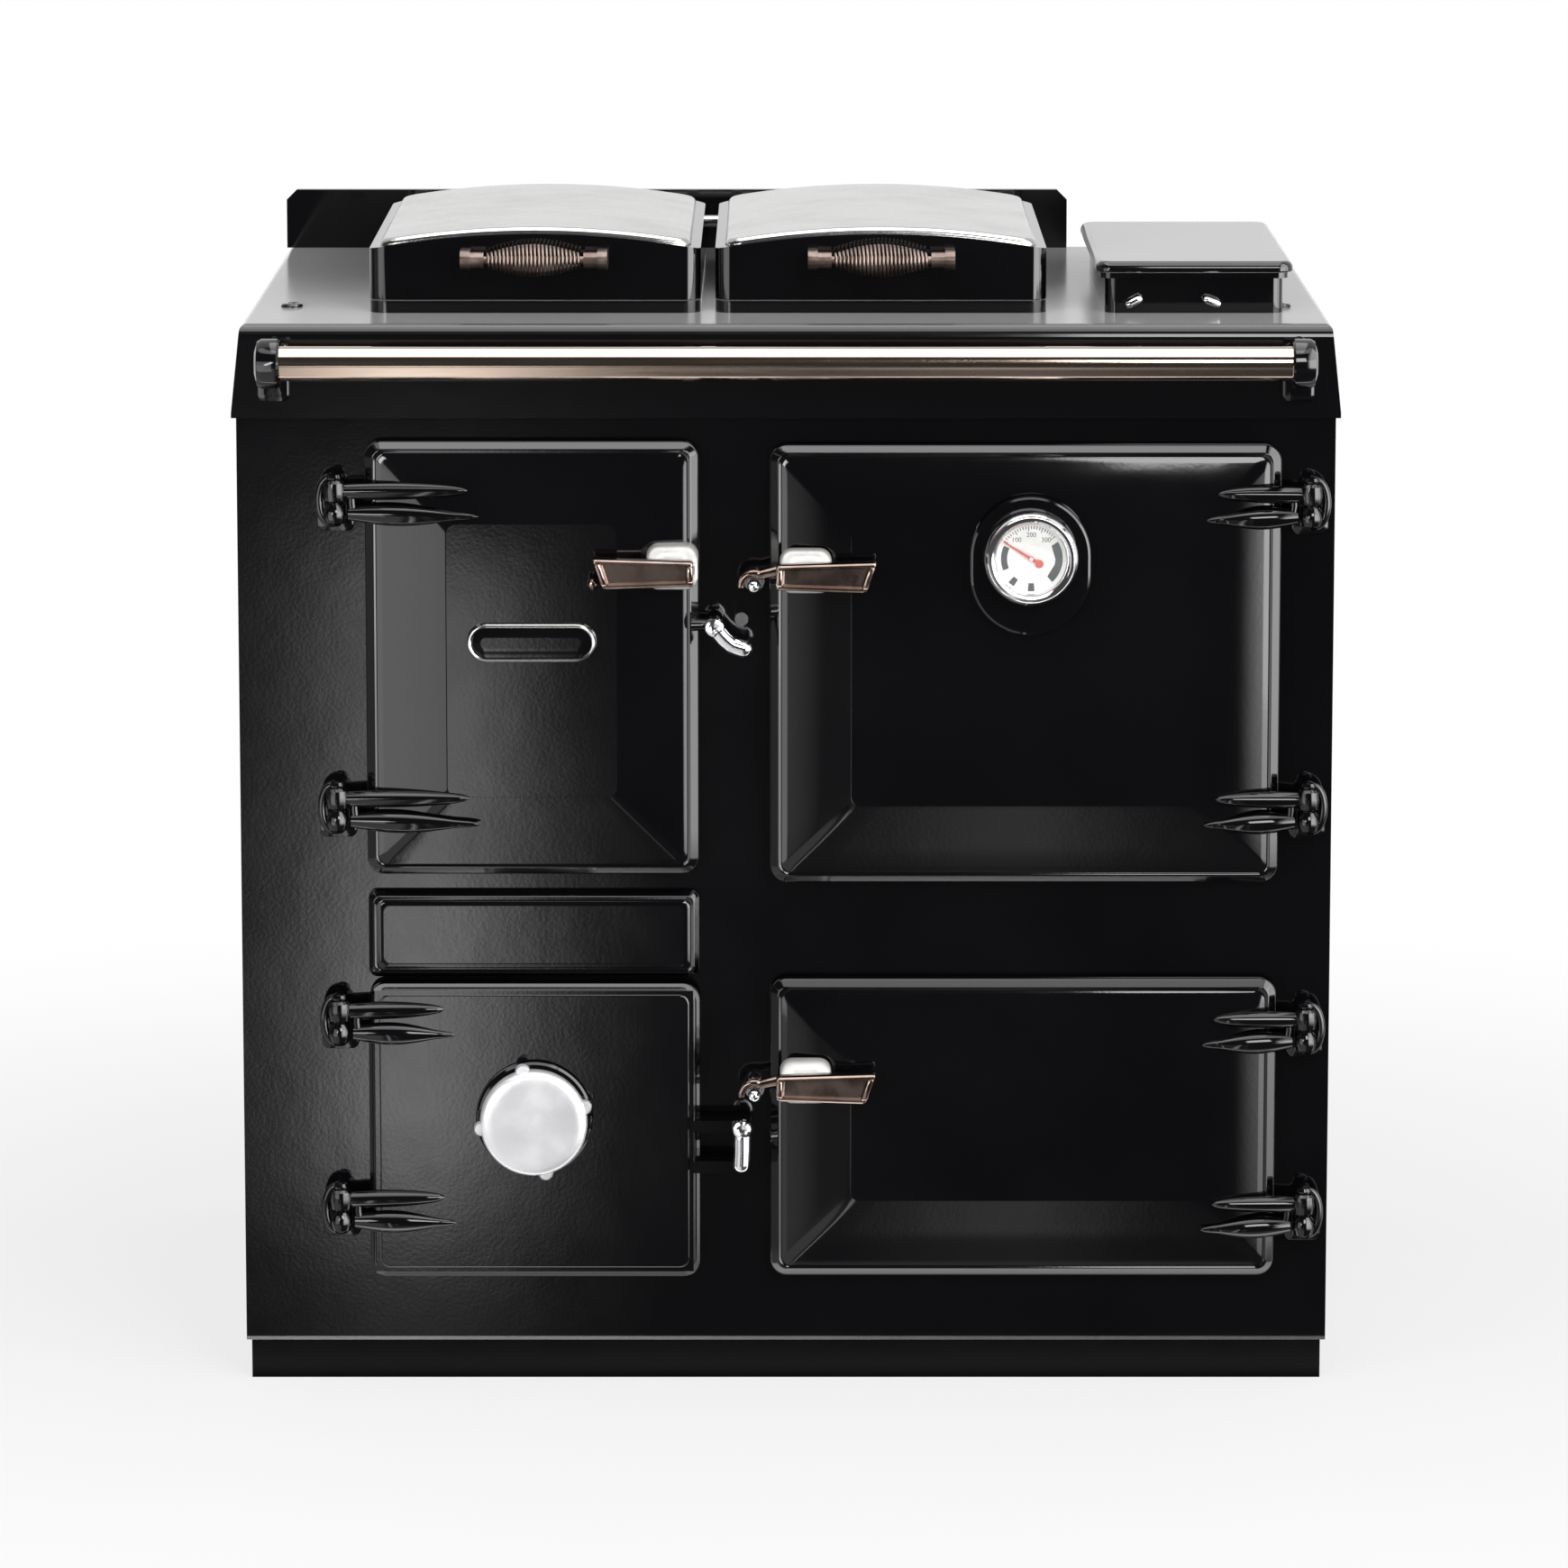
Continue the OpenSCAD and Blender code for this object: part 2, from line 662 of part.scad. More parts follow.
module grip_coil(x) {
    n = len(coil_path);
    points = [for (i = [0:n - 1]) each coil_ring(i)];
    sides = [for (i = [0:n - 2], k = [0:wire_sides - 1]) let(a = i * wire_sides + k,
        b = i * wire_sides + (k + 1) % wire_sides) each [[a, a + wire_sides, b],
        [b, a + wire_sides, b + wire_sides]]];
    ends = [for (k = [1:wire_sides - 2]) each [[0, k, k + 1],
        [(n - 1) * wire_sides, (n - 1) * wire_sides + k + 1, (n - 1) * wire_sides + k]]];
    color(nickel) translate([x, grip_y, grip_z]) polyhedron(points, concat(sides, ends));
}

// --- Hand rail ---

y_rail = y_front - rail_out;
z_rail = hob_h - rail_down;
rail_socket = rail_bracket_w / 2; // how deep the rail enters a bracket

module hand_rail() {
    reach = rail_bracket_x - rail_bracket_w + rail_socket;
    wall = 2.5;
    color(nickel) translate([-reach, y_rail, z_rail]) rotate([0, 90, 0]) difference() {
        cylinder(h = 2 * reach, r = rail_r);
        translate([0, 0, -cut]) cylinder(h = 2 * (reach + cut), r = rail_r - wall);
    }
}

module rail_brackets() {
    wall = 6;
    arm_h = 26;
    foot_t = 5;
    y_apron = y_front - apron_out;
    color(enamel) for (s = [0, 1]) mirror([s, 0, 0]) difference() {
        union() {
            side_slab(rail_bracket_x - rail_bracket_w, rail_bracket_x) union() {
                translate([y_rail, z_rail]) circle(rail_r + wall);
                translate([y_rail, z_rail - arm_h / 2]) square([y_apron - y_rail, arm_h]);
            }
            front_slab(y_apron, foot_t) rrect(rail_bracket_x - rail_bracket_w - 4,
                z_lip + 14, rail_bracket_w + 8, shoulder_z - z_lip - 16, 5);
        }
        translate([rail_bracket_x - rail_bracket_w - cut, y_rail, z_rail]) rotate([0, 90, 0])
            cylinder(h = rail_socket + cut, r = rail_r + pin_gap);
    }
}

// --- Flue ---

flue_x = right_lid_x + lid_w / 2 + flue_gap;
flue_w = half_w - flue_side - flue_x;
flue_y = y_front + lid_in;
z_cover = hob_h + flue_h;

module flue_box() {
    color(enamel) difference() {
        translate([0, 0, hob_h]) linear_extrude(flue_h) rrect(flue_x, flue_y, flue_w, flue_d, 10);
        translate([0, 0, hob_h - cut]) linear_extrude(flue_h + 2 * cut)
            rrect(flue_x + flue_wall, flue_y + flue_wall, flue_w - 2 * flue_wall,
                flue_d - 2 * flue_wall, 4);
    }
}

module flue_cover() {
    under_t = 6; // the narrower flange below the cover
    spigot_t = 5; // the part that enters the box
    fit = 1;
    color(enamel) {
        translate([0, 0, z_cover + under_t]) linear_extrude(cover_t)
            rrect(flue_x - cover_out, flue_y - cover_out, flue_w + 2 * cover_out,
                flue_d + 2 * cover_out, 14);
        translate([0, 0, z_cover]) linear_extrude(under_t) rrect(flue_x - cover_out / 2,
            flue_y - cover_out / 2, flue_w + cover_out, flue_d + cover_out, 12);
        translate([0, 0, z_cover - spigot_t]) linear_extrude(spigot_t)
            rrect(flue_x + flue_wall + fit, flue_y + flue_wall + fit,
                flue_w - 2 * (flue_wall + fit), flue_d - 2 * (flue_wall + fit), 4);
    }
}

// Rear flue outlet, bolted to the back panel
module flue_collar() {
    wall = 5;
    flange_t = 6;
    flange_w = 22;
    bolt_r = 3.2;
    color(cast) outward(outlet_x, y_back, outlet_z) mirror([0, 0, 1]) difference() {
        union() {
            cylinder(h = outlet_len, r = outlet_r + wall);
            cylinder(h = flange_t, r = outlet_r + flange_w);
        }
        translate([0, 0, -cut]) cylinder(h = outlet_len + 2 * cut, r = outlet_r);
        for (a = [45:90:315]) rotate([0, 0, a]) translate([outlet_r + flange_w / 2 + 3, 0, -cut])
            cylinder(h = flange_t + 2 * cut, r = bolt_r);
    }
}

// --- Ovens ---

// An oven box open at the front, from height z0 to z1, with grooves for its shelves
module oven_box(z0, z1, shelves) {
    color(steel) difference() {
        block([oven_x0, in_front, z0], [oven_x1, oven_back, z1]);
        block([oven_x0 + oven_wall, in_front - cut, z0 + oven_wall],
            [oven_x1 - oven_wall, oven_back - oven_wall, z1 - oven_wall]);
        for (z = shelf_heights(z0, z1, shelves), s = [0, 1])
            translate([s * (oven_x0 + oven_x1), 0, 0]) mirror([s, 0, 0])
                block([oven_x0 + oven_wall - runner, in_front - cut, z],
                    [oven_x0 + oven_wall + cut, oven_back - oven_wall - 20, z + runner_h]);
    }
}
runner = 3; // depth of the grooves that hold the shelves
runner_h = 7;
main_shelves = [0.3, 0.6]; // heights of the shelves, as shares of their oven's height
low_shelves = [0.45];
function shelf_heights(z0, z1, shares) = [for (k = shares) z0 + k * (z1 - z0)];

module main_oven_box() { oven_box(main_z0, main_z1, main_shelves); }
module lower_oven_box() { oven_box(low_z0, low_z1, low_shelves); }

// Grid shelves resting in the grooves
module oven_shelves() {
    side = 2; // clearance of a shelf in its grooves
    x0 = oven_x0 + oven_wall - runner + side / 2;
    x1 = oven_x1 - oven_wall + runner - side / 2;
    y0 = in_front + 12;
    y1 = oven_back - oven_wall - 22;
    bar = 5;
    bars = 9;
    heights = concat(shelf_heights(main_z0, main_z1, main_shelves),
        shelf_heights(low_z0, low_z1, low_shelves));
    color(steel) for (z = heights) {
        for (x = [x0, x1 - bar]) block([x, y0, z], [x + bar, y1, z + bar]);
        for (y = [y0, y1 - bar]) block([x0, y, z], [x1, y + bar, z + bar]);
        for (i = [1:bars]) let(x = x0 + (x1 - x0 - bar) * i / (bars + 1))
            block([x, y0, z], [x + bar, y1, z + bar]);
    }
}

// Insulation under each oven and against the left side panel
module insulation_slabs() {
    color("#b8b29a") {
        block([oven_x0, in_front, z_body], [oven_x1, oven_back, low_z0]);
        block([oven_x0, in_front, low_z1], [oven_x1, oven_back, main_z0]);
        block([-in_x, in_front, z_body], [brick_x0 - 10, y_boiler_back, z_brick_top]);
    }
}

// --- Firebox and ashpit ---

z_wall = z_seat - seat_t; // the top of the ashpit's walls
tapping_x = grate_x;
return_up = 90; // from the boiler's bottom to its return pipe
flow_down = 60; // from the boiler's top to its flow pipe
tapping_z = [z_seat + return_up, z_brick_top - flow_down];
outlet_z = hob_h - outlet_down;
outlet_x = half_w - outlet_side;

// Bricks of the two side walls, two high and two deep
module fire_bricks() {
    joint = 0.5;
    h = (z_brick_top - z_seat) / 2;
    d = (y_boiler - in_front) / 2;
    color(brick) for (x = [brick_x0, brick_x1 - brick_t], i = [0, 1], j = [0, 1])
        block([x, in_front + j * d, z_seat + i * h],
            [x + brick_t, in_front + (j + 1) * d - joint, z_seat + (i + 1) * h - joint]);
}

// Water jacket behind the fire, with a flow and a return pipe out through the back panel
module boiler() {
    reach = y_back + tapping_len - y_boiler_back;
    wall = 6;
    color(steel) difference() {
        union() {
            block([brick_x0, y_boiler, z_seat], [brick_x1, y_boiler_back, z_brick_top]);
            for (z = tapping_z) outward(tapping_x, y_boiler_back, z) mirror([0, 0, 1])
                cylinder(h = reach, r = tapping_r + 3);
        }
        block([brick_x0 + wall, y_boiler + wall, z_seat + wall],
            [brick_x1 - wall, y_boiler_back - wall, z_brick_top - wall]);
        for (z = tapping_z) outward(tapping_x, y_boiler_back - wall - cut, z) mirror([0, 0, 1])
            cylinder(h = reach + wall + 2 * cut, r = tapping_r);
    }
}

// Ashpit walls and back with the seat for the turning grate on top of them
module ashpit_casting() {
    wall = 10;
    pivot_h = grate_t - 6; // height of the grate's pivot pin above the seat
    spoke_w = 24;
    color(cast) {
        for (x = [brick_x0, brick_x1 - wall])
            block([x, in_front, z_body], [x + wall, y_boiler_back, z_wall]);
        block([brick_x0, y_boiler_back - wall, z_body], [brick_x1, y_boiler_back, z_wall]);
        difference() {
            block([brick_x0, in_front, z_wall], [brick_x1, y_boiler_back, z_seat]);
            translate([grate_x, grate_y, z_wall - cut])
                cylinder(h = seat_t + 2 * cut, r = grate_r - 8);
        }
        block([grate_x - spoke_w / 2, grate_y - grate_r + 4, z_wall],
            [grate_x + spoke_w / 2, grate_y + grate_r - 4, z_seat - run_gap]);
        translate([grate_x, grate_y, z_wall]) cylinder(h = seat_t + pivot_h, r = 8);
        difference() {
            block([brick_x0 + brick_t, in_front, z_seat],
                [brick_x1 - brick_t, y_boiler - 1, z_seat + 5]);
            translate([grate_x, grate_y, z_seat - cut])
                cylinder(h = grate_t, r = grate_r + 1);
        }
    }
}

// Round grate that is riddled a few degrees each way about its pivot
module riddling_grate() {
    slot = 9;
    bar = 9;
    z0 = z_seat + run_gap;
    color(cast) difference() {
        translate([grate_x, grate_y, z0]) cylinder(h = grate_t, r = grate_r);
        translate([grate_x, grate_y, z0 - cut]) cylinder(h = grate_t - 5, r = 8 + pin_gap);
        for (i = [1:4], s = [-1, 1]) let(x = s * (i * (slot + bar)),
            half = sqrt(pow(grate_r - 14, 2) - x * x))
            block([grate_x + x - slot / 2, grate_y - half, z0 - cut],
                [grate_x + x + slot / 2, grate_y + half, z0 + grate_t + cut]);
    }
}

// Open ash drawer, lifted out through the ashpit door
module ashpan() {
    wall = 3;
    height = 150;
    room = 14; // to the casting's sides and front
    back_room = 60; // to the boiler's back
    x0 = left_x + door_lap + room;
    x1 = left_edge - door_lap - room;
    y0 = in_front + room;
    y1 = y_boiler_back - back_room;
    color(steel) difference() {
        block([x0, y0, z_body], [x1, y1, z_body + height]);
        block([x0 + wall, y0 + wall, z_body + wall], [x1 - wall, y1 - wall, z_body + height + cut]);
    }
}

// --- Doors ---

// Two crossed profiles whose common part rises from the edge to a flat middle
module edge_profiles(d, y, edge, mid, border) {
    intersection() {
        translate([0, 0, d[1]]) linear_extrude(d[3]) polygon([[d[0], y], [d[0], y - edge],
            [d[0] + border, y - mid], [d[0] + d[2] - border, y - mid],
            [d[0] + d[2], y - edge], [d[0] + d[2], y]]);
        side_slab(d[0], d[0] + d[2]) polygon([[y, d[1]], [y - edge, d[1]],
            [y - mid, d[1] + border], [y - mid, d[1] + d[3] - border],
            [y - edge, d[1] + d[3]], [y, d[1] + d[3]]]);
    }
}

module domed_door(d) {
    intersection() {
        front_slab(y_door, door_mid) door_outline(d, 0, door_r);
        edge_profiles(d, y_door, door_edge, door_mid, door_border);
    }
}

// A domed door with the pocket behind it that its liner covers
module door_casting(d) {
    in = door_lap + liner_gap + 7;
    skin = 7;
    pocket = [d[0] + in, d[1] + in, d[2] - 2 * in, d[3] - 2 * in];
    difference() {
        domed_door(d);
        edge_profiles(pocket, y_door + cut, door_edge - skin + 5 + cut, door_mid - skin + cut,
            door_border - in);
    }
}

module flat_door_shape(d) {
    intersection() {
        front_slab(y_door, flat_door) door_outline(d, 0, door_r);
        edge_profiles(d, y_door, flat_door - 4, flat_door, 5);
    }
}

// Plate behind a door that enters the opening, with a raised middle
module liner(d) {
    in = door_lap + liner_gap;
    color(cast) translate([0, liner_t, 0]) {
        front_slab(y_door, liner_t) door_outline(d, in, door_r / 2);
        translate([0, 4, 0]) front_slab(y_door, 4) door_outline(d, in + 28, door_r / 2);
    }
}

// A pivot pin on a low boss, standing on a door
module pivot_boss(x, z, y) {
    outward(x, y_door, z) cylinder(h = y_door - y_hub - run_gap, r = hub_r + 2);
    outward(x, y, z) cylinder(h = y - y_hub + pivot_pin, r = pivot_r);
}

module firebox_door() {
    color(enamel) {
        door_casting(fire_door);
        latch_arm(fire_pivot_x, fire_latch_z, fire_latch_z);
    }
}

module ashpit_door() {
    color(enamel) {
        difference() {
            flat_door_shape(ash_door);
            outward(wheel_x, y_door + cut, wheel_z) cylinder(h = flat_door + 2 * cut,
                r = register_r - 8);
        }
        latch_arm(ash_pivot_x, ash_latch_z, ash_latch_z - 34);
    }
}

module main_oven_door() {
    color(enamel) difference() {
        union() {
            door_casting(main_door);
            pivot_boss(oven_pivot_x, main_handle_z, y_mid);
            for (z = [gauge_z, gauge_z - gauge_boss_drop]) outward(gauge_x, y_mid + 7, z)
                cylinder(h = gauge_boss_h + 7, r = gauge_boss_r);
        }
        outward(gauge_x, y_door + cut, gauge_z)
            cylinder(h = door_mid + gauge_boss_h + 2 * cut, r = probe_r + 1);
    }
}

module lower_oven_door() {
    color(enamel) {
        door_casting(low_door);
        pivot_boss(oven_pivot_x, low_handle_z, y_mid);
    }
}

module firebox_door_liner() { liner(fire_door); }
module main_oven_door_liner() {
    difference() {
        liner(main_door);
        color(cast) outward(gauge_x, y_door + liner_t + 10, gauge_z)
            cylinder(h = liner_t + 20, r = probe_r + 1);
    }
}
module lower_oven_door_liner() { liner(low_door); }

// Arm from a left door's free edge that carries a latch pivot at z, with a second prong at z2
module latch_arm(x, z, z2) {
    root = left_edge - 6;
    arm = 5; // half height of an arm
    y0 = y_door - 4;
    y1 = latch_y + latch_r + run_gap;
    for (h = [z, z2]) block([root, y1, h - arm], [x, y0, h + arm]);
    outward(x, y0, z) cylinder(h = y0 - y1, r = arm + 2);
    outward(x, y0, z) cylinder(h = y0 - latch_y + 3, r = pivot_r - 1);
}

// Strap arm with its knuckle, seated on the door given as its child: a turned spindle shape
module strap(axis, z, s, length, face) {
    fat = knuckle_r - 1;
    tip = [axis + s * length, face - strap_bury];
    run = norm([s * length, tip[1] - y_axis]);
    turn = atan2(tip[1] - y_axis, s * length);
    difference() {
        union() {
            translate([axis, y_axis, z - knuckle_h / 2]) cylinder(h = knuckle_h, r = knuckle_r);
            translate([axis, y_axis, z]) rotate([0, 90, turn]) rotate_extrude()
                polygon([[0, 0], [fat - 1, 0], [fat, 0.25 * run], [0.72 * fat, 0.6 * run],
                    [0.45 * fat, 0.88 * run], [0.25 * fat, 0.98 * run], [0, run]]);
        }
        translate([axis, y_axis, z - knuckle_h])
            cylinder(h = 2 * knuckle_h, r = hinge_pin_r + pin_gap);
        children();
    }
}

module firebox_door_straps() {
    color(enamel) for (z = fire_hinges) strap(left_axis, z, 1, fire_strap, y_mid)
        domed_door(fire_door);
}
module ashpit_door_straps() {
    color(enamel) for (z = ash_hinges) strap(left_axis, z, 1, ash_strap, y_flat)
        flat_door_shape(ash_door);
}
module main_oven_door_straps() {
    color(enamel) for (z = main_hinges) strap(right_axis, z, -1, oven_strap, y_mid)
        domed_door(main_door);
}
module lower_oven_door_straps() {
    color(enamel) for (z = low_hinges) strap(right_axis, z, -1, oven_strap, y_mid)
        domed_door(low_door);
}

// Fixed hinge halves: a knuckle under the strap's, the lift-off pin, an arm and a foot
module hinge_bracket(axis, z) {
    arm = 6; // half width of the arm
    foot = 15; // half width of the foot
    z_top = z - knuckle_h / 2 - run_gap;
    z_low = z_top - knuckle_h;
    translate([axis, y_axis, z_low]) cylinder(h = knuckle_h, r = knuckle_r);
    translate([axis, y_axis, z_low]) cylinder(h = 2 * knuckle_h + 4, r = hinge_pin_r);
    block([axis - arm, y_axis, z_low + 1], [axis + arm, y_front, z_top - 1]);
    front_slab(y_front, 4) rrect(axis - foot, z_low - 8, 2 * foot, knuckle_h + 16, 6);
}

module hinge_brackets() {
    color(enamel) {
        for (z = concat(fire_hinges, ash_hinges)) hinge_bracket(left_axis, z);
        for (z = concat(main_hinges, low_hinges)) hinge_bracket(right_axis, z);
    }
}

// --- Handles and latches ---

// A ball-ended stud for each oven handle's hook and a plain stud beside each latch lever
module latch_keepers() {
    shank_r = keeper_ball_r - 1.5;
    reach = y_front - latch_y - 3; // from the front plate to the ball's middle
    color(bright) {
        for (z = [main_handle_z, low_handle_z]) outward(keeper_x, y_front, z - keeper_drop) {
            cylinder(h = reach, r = shank_r);
            translate([0, 0, reach]) sphere(keeper_ball_r);
            cylinder(h = 3, r = keeper_ball_r + 3);
        }
        outward(fire_pivot_x + fire_stud_out, y_front, fire_latch_z + fire_stud_up)
            cylinder(h = reach, r = keeper_ball_r);
        outward(ash_pivot_x, y_front, ash_latch_z - ash_stud_down)
            cylinder(h = y_front - latch_y - latch_r - 3, r = keeper_ball_r);
    }
}

// Handle bar with its root at (x, z), reaching to side s
module handle_bar(x, z, s) {
    root = bar_h / 2 - 2.5;
    end = bar_h / 2;
    slant = 8; // how much longer the bar is at its top than at its bottom
    front_slab(y_bar, bar_t) polygon([[x, z - root], [x + s * (bar_len - slant), z - end],
        [x + s * bar_len, z + end], [x, z + root]]);
}

// Oven handle: hub on the pivot, hook over the keeper, and the bar
module oven_handle(z) {
    kx = keeper_x;
    kz = z - keeper_drop;
    outer = hook_r + 5;
    y_hook = y_hub - 1;
    color(nickel) difference() {
        union() {
            outward(oven_pivot_x, y_hub, z) cylinder(h = y_hub - y_bar, r = hub_r);
            front_slab(y_hook, hook_t) difference() {
                union() {
                    translate([kx, kz]) circle(outer);
                    polygon([[kx, kz + outer], [kx + outer - 1, kz + 2], [oven_pivot_x, z - 7],
                        [oven_pivot_x, z + 7]]);
                }
                translate([kx, kz]) circle(hook_r);
                translate([kx - 2 * outer, kz - 2 * outer]) square([4 * outer, 2 * outer]);
            }
            handle_bar(right_x + 5, z, 1);
        }
        outward(oven_pivot_x, y_hub + cut, z) cylinder(h = pivot_pin + 1 + cut, r = pivot_r + pin_gap);
    }
}
module main_oven_handle() { oven_handle(main_handle_z); }
module lower_oven_handle() { oven_handle(low_handle_z); }

// Fixed pull handle of the firebox door, on one post that stands on the door's sloped border
module firebox_handle() {
    post_x = bar_root - 16;
    color(nickel) {
        difference() {
            outward(post_x, y_edge, fire_handle_z) cylinder(h = y_edge - y_bar, r = hub_r);
            domed_door(fire_door);
        }
        handle_bar(bar_root, fire_handle_z, -1);
        outward(bar_root - bar_len + 4, y_bar - bar_t / 2, fire_handle_z - 8) sphere(4);
    }
}

// Round-ended latch lever hanging at an angle from its pivot at (x, z)
module latch_lever(x, z, angle) {
    color(bright) difference() {
        translate([x, latch_y, z]) rotate([0, angle, 0]) {
            cylinder(h = latch_len, r = latch_r);
            sphere(latch_r);
            translate([0, 0, latch_len]) sphere(latch_r);
        }
        outward(x, latch_y + latch_r + cut, z)
            cylinder(h = latch_r + cut + 3.5, r = pivot_r - 1 + pin_gap);
    }
}
module firebox_latch() { latch_lever(fire_pivot_x, fire_latch_z, 90 + latch_angle); }
module ashpit_latch() { latch_lever(ash_pivot_x, ash_latch_z, 180); }

// --- Plaque, thermometer and air wheel ---

// Flat bar outline with round ends, as long as w and as high as h
module pill(w, h) {
    square([w - h, h], center = true);
    for (s = [-1, 1]) translate([s * (w - h) / 2, 0]) circle(h / 2);
}

// Blank oval plaque with a raised rim
module name_plaque() {
    long = 104;
    high = 31;
    rim = 2.5;
    plate = 2;
    down = 163; // of the plaque below the door's top
    plaque_z = fire_top - down;
    color(steel) outward(left_x + left_w / 2, y_mid, plaque_z) {
        linear_extrude(plate) pill(long, high);
        linear_extrude(plate + 1.2) difference() {
            pill(long, high);
            pill(long - 2 * rim, high - 2 * rim);
        }
    }
}

gauge_z = main_top - gauge_down;
gauge_boss_h = 9; // how far the thermometer's boss stands in front of the door
gauge_boss_drop = 16; // how far the boss reaches down below the case
gauge_back = y_mid - gauge_boss_h;
gauge_wall = 3;
glass_t = 2;
probe_r = 4;
dial_r = gauge_r - gauge_wall - 2;
y_dial = gauge_back - gauge_d / 2;
dial_t = 1.5;
spindle_gauge_r = 1.5;

module thermometer_case() {
    probe_len = gauge_back - y_door; // reaches through the door into the oven
    color(bright) {
        outward(gauge_x, gauge_back, gauge_z) rotate_extrude() polygon([[0, 0],
            [gauge_r - 5, 0], [gauge_r - 5, gauge_d - 8], [gauge_r, gauge_d - 6],
            [gauge_r, gauge_d - 2], [gauge_r - 2, gauge_d], [dial_r - 2, gauge_d],
            [dial_r - 2, gauge_d - glass_t], [dial_r, gauge_d - glass_t],
            [dial_r, gauge_d / 2], [dial_r - 3, gauge_d / 2], [dial_r - 3, gauge_wall],
            [0, gauge_wall]]);
        outward(gauge_x, gauge_back, gauge_z) mirror([0, 0, 1])
            cylinder(h = -probe_len + liner_t + 40, r = probe_r);
    }
}

module thermometer_dial() {
    color("white") outward(gauge_x, y_dial, gauge_z) {
        difference() {
            cylinder(h = dial_t, r = dial_r);
            translate([0, 0, -cut]) cylinder(h = dial_t + 2 * cut, r = spindle_gauge_r);
        }
    }
    color(steel) outward(gauge_x, gauge_back - gauge_wall, gauge_z)
        cylinder(h = gauge_d / 2 - gauge_wall + dial_t + 4, r = spindle_gauge_r);
}

module thermometer_glass() {
    color([0.8, 0.9, 0.95, 0.35]) outward(gauge_x, gauge_back - gauge_d + 2 * glass_t, gauge_z)
        cylinder(h = glass_t, r = dial_r - pin_gap);
}

// Pointer with a short tail, aimed up and to the left
module thermometer_pointer() {
    color("#c8401c") outward(gauge_x, y_dial - dial_t - 1, gauge_z) rotate([0, 0, 145])
        difference() {
            union() {
                cylinder(h = 1.5, r = 4);
                linear_extrude(1.5) polygon([[-9, -1.8], [dial_r - 9, -0.5], [dial_r - 9, 0.5],
                    [-9, 1.8]]);
            }
            translate([0, 0, -cut]) cylinder(h = 4, r = spindle_gauge_r + pin_gap);
        }
}

wheel_x = left_x + left_w / 2;
wheel_z = ash_z + wheel_up;
register_r = wheel_r - 3;
register_t = 7;
wheel_gap = 6; // from the register to the back of the wheel at rest

// Fixed air plate with six openings and the stud that the wheel runs on
module air_register() {
    openings = 6;
    color(cast) outward(wheel_x, y_flat, wheel_z) difference() {
        union() {
            cylinder(h = register_t, r = register_r);
            cylinder(h = register_t + wheel_gap + wheel_t - 7, r = stud_r);
        }
        for (i = [0:openings - 1]) rotate([0, 0, 360 * i / openings])
            translate([0.56 * register_r, 0, -cut]) cylinder(h = register_t + 2 * cut,
                r = 0.2 * register_r);
    }
}

// Bush that screws along the stud with the wheel
module air_bush() {
    color("#b08d4a") outward(wheel_x, y_flat - register_t - wheel_gap - 1, wheel_z) difference() {
        cylinder(h = wheel_t - 4.5, r = bush_r);
        translate([0, 0, -cut]) cylinder(h = wheel_t, r = stud_r + pin_gap);
    }
}

// Bevelled wheel with four round lugs on its edge
module air_wheel() {
    lug_r = 6;
    bevel = 6;
    drum = wheel_t - bevel;
    color(bright) outward(wheel_x, y_flat - register_t - wheel_gap, wheel_z) difference() {
        union() {
            cylinder(h = drum, r = wheel_r);
            translate([0, 0, drum]) cylinder(h = bevel, r1 = wheel_r, r2 = wheel_r - 2.5 * bevel);
            for (a = [16:90:286]) rotate([0, 0, a]) translate([wheel_r + 1, 0, 1])
                cylinder(h = drum - 2, r = lug_r);
        }
        translate([0, 0, -cut]) cylinder(h = wheel_t - 3 + cut, r = bush_r + pin_gap);
    }
}

module left_lid() { lid(left_lid_x); }
module left_lid_dome() { lid_dome(left_lid_x); }
module left_lid_liner() { lid_liner(left_lid_x); }
module left_grip_mount() { grip_mount(left_lid_x); }
module left_grip_coil() { grip_coil(left_lid_x); }
module right_lid() { lid(right_lid_x); }
module right_lid_dome() { lid_dome(right_lid_x); }
module right_lid_liner() { lid_liner(right_lid_x); }
module right_grip_mount() { grip_mount(right_lid_x); }
module right_grip_coil() { grip_coil(right_lid_x); }

plinth();
hearth_plate();
side_panels();
back_panel();
front_plate();
infill_panel();
hob();
hob_upstand();
hotplates();
lid_hinge_rod();
hand_rail();
rail_brackets();
flue_box();
flue_cover();
flue_collar();
main_oven_box();
lower_oven_box();
oven_shelves();
insulation_slabs();
fire_bricks();
boiler();
ashpit_casting();
ashpan();
hinge_brackets();
latch_keepers();
riddling_grate();
firebox_door();
firebox_door_liner();
firebox_door_straps();
firebox_handle();
name_plaque();
firebox_latch();
ashpit_door();
ashpit_door_straps();
air_register();
ashpit_latch();
air_bush();
air_wheel();
main_oven_door();
main_oven_door_liner();
main_oven_door_straps();
thermometer_case();
thermometer_dial();
thermometer_glass();
thermometer_pointer();
main_oven_handle();
lower_oven_door();
lower_oven_door_liner();
lower_oven_door_straps();
lower_oven_handle();
left_lid();
left_lid_dome();
left_lid_liner();
left_grip_mount();
left_grip_coil();
right_lid();
right_lid_dome();
right_lid_liner();
right_grip_mount();
right_grip_coil();
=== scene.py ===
"""Looks of the cast iron range cooker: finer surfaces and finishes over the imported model."""

import math

import bpy
import numpy as np
from mathutils import Matrix


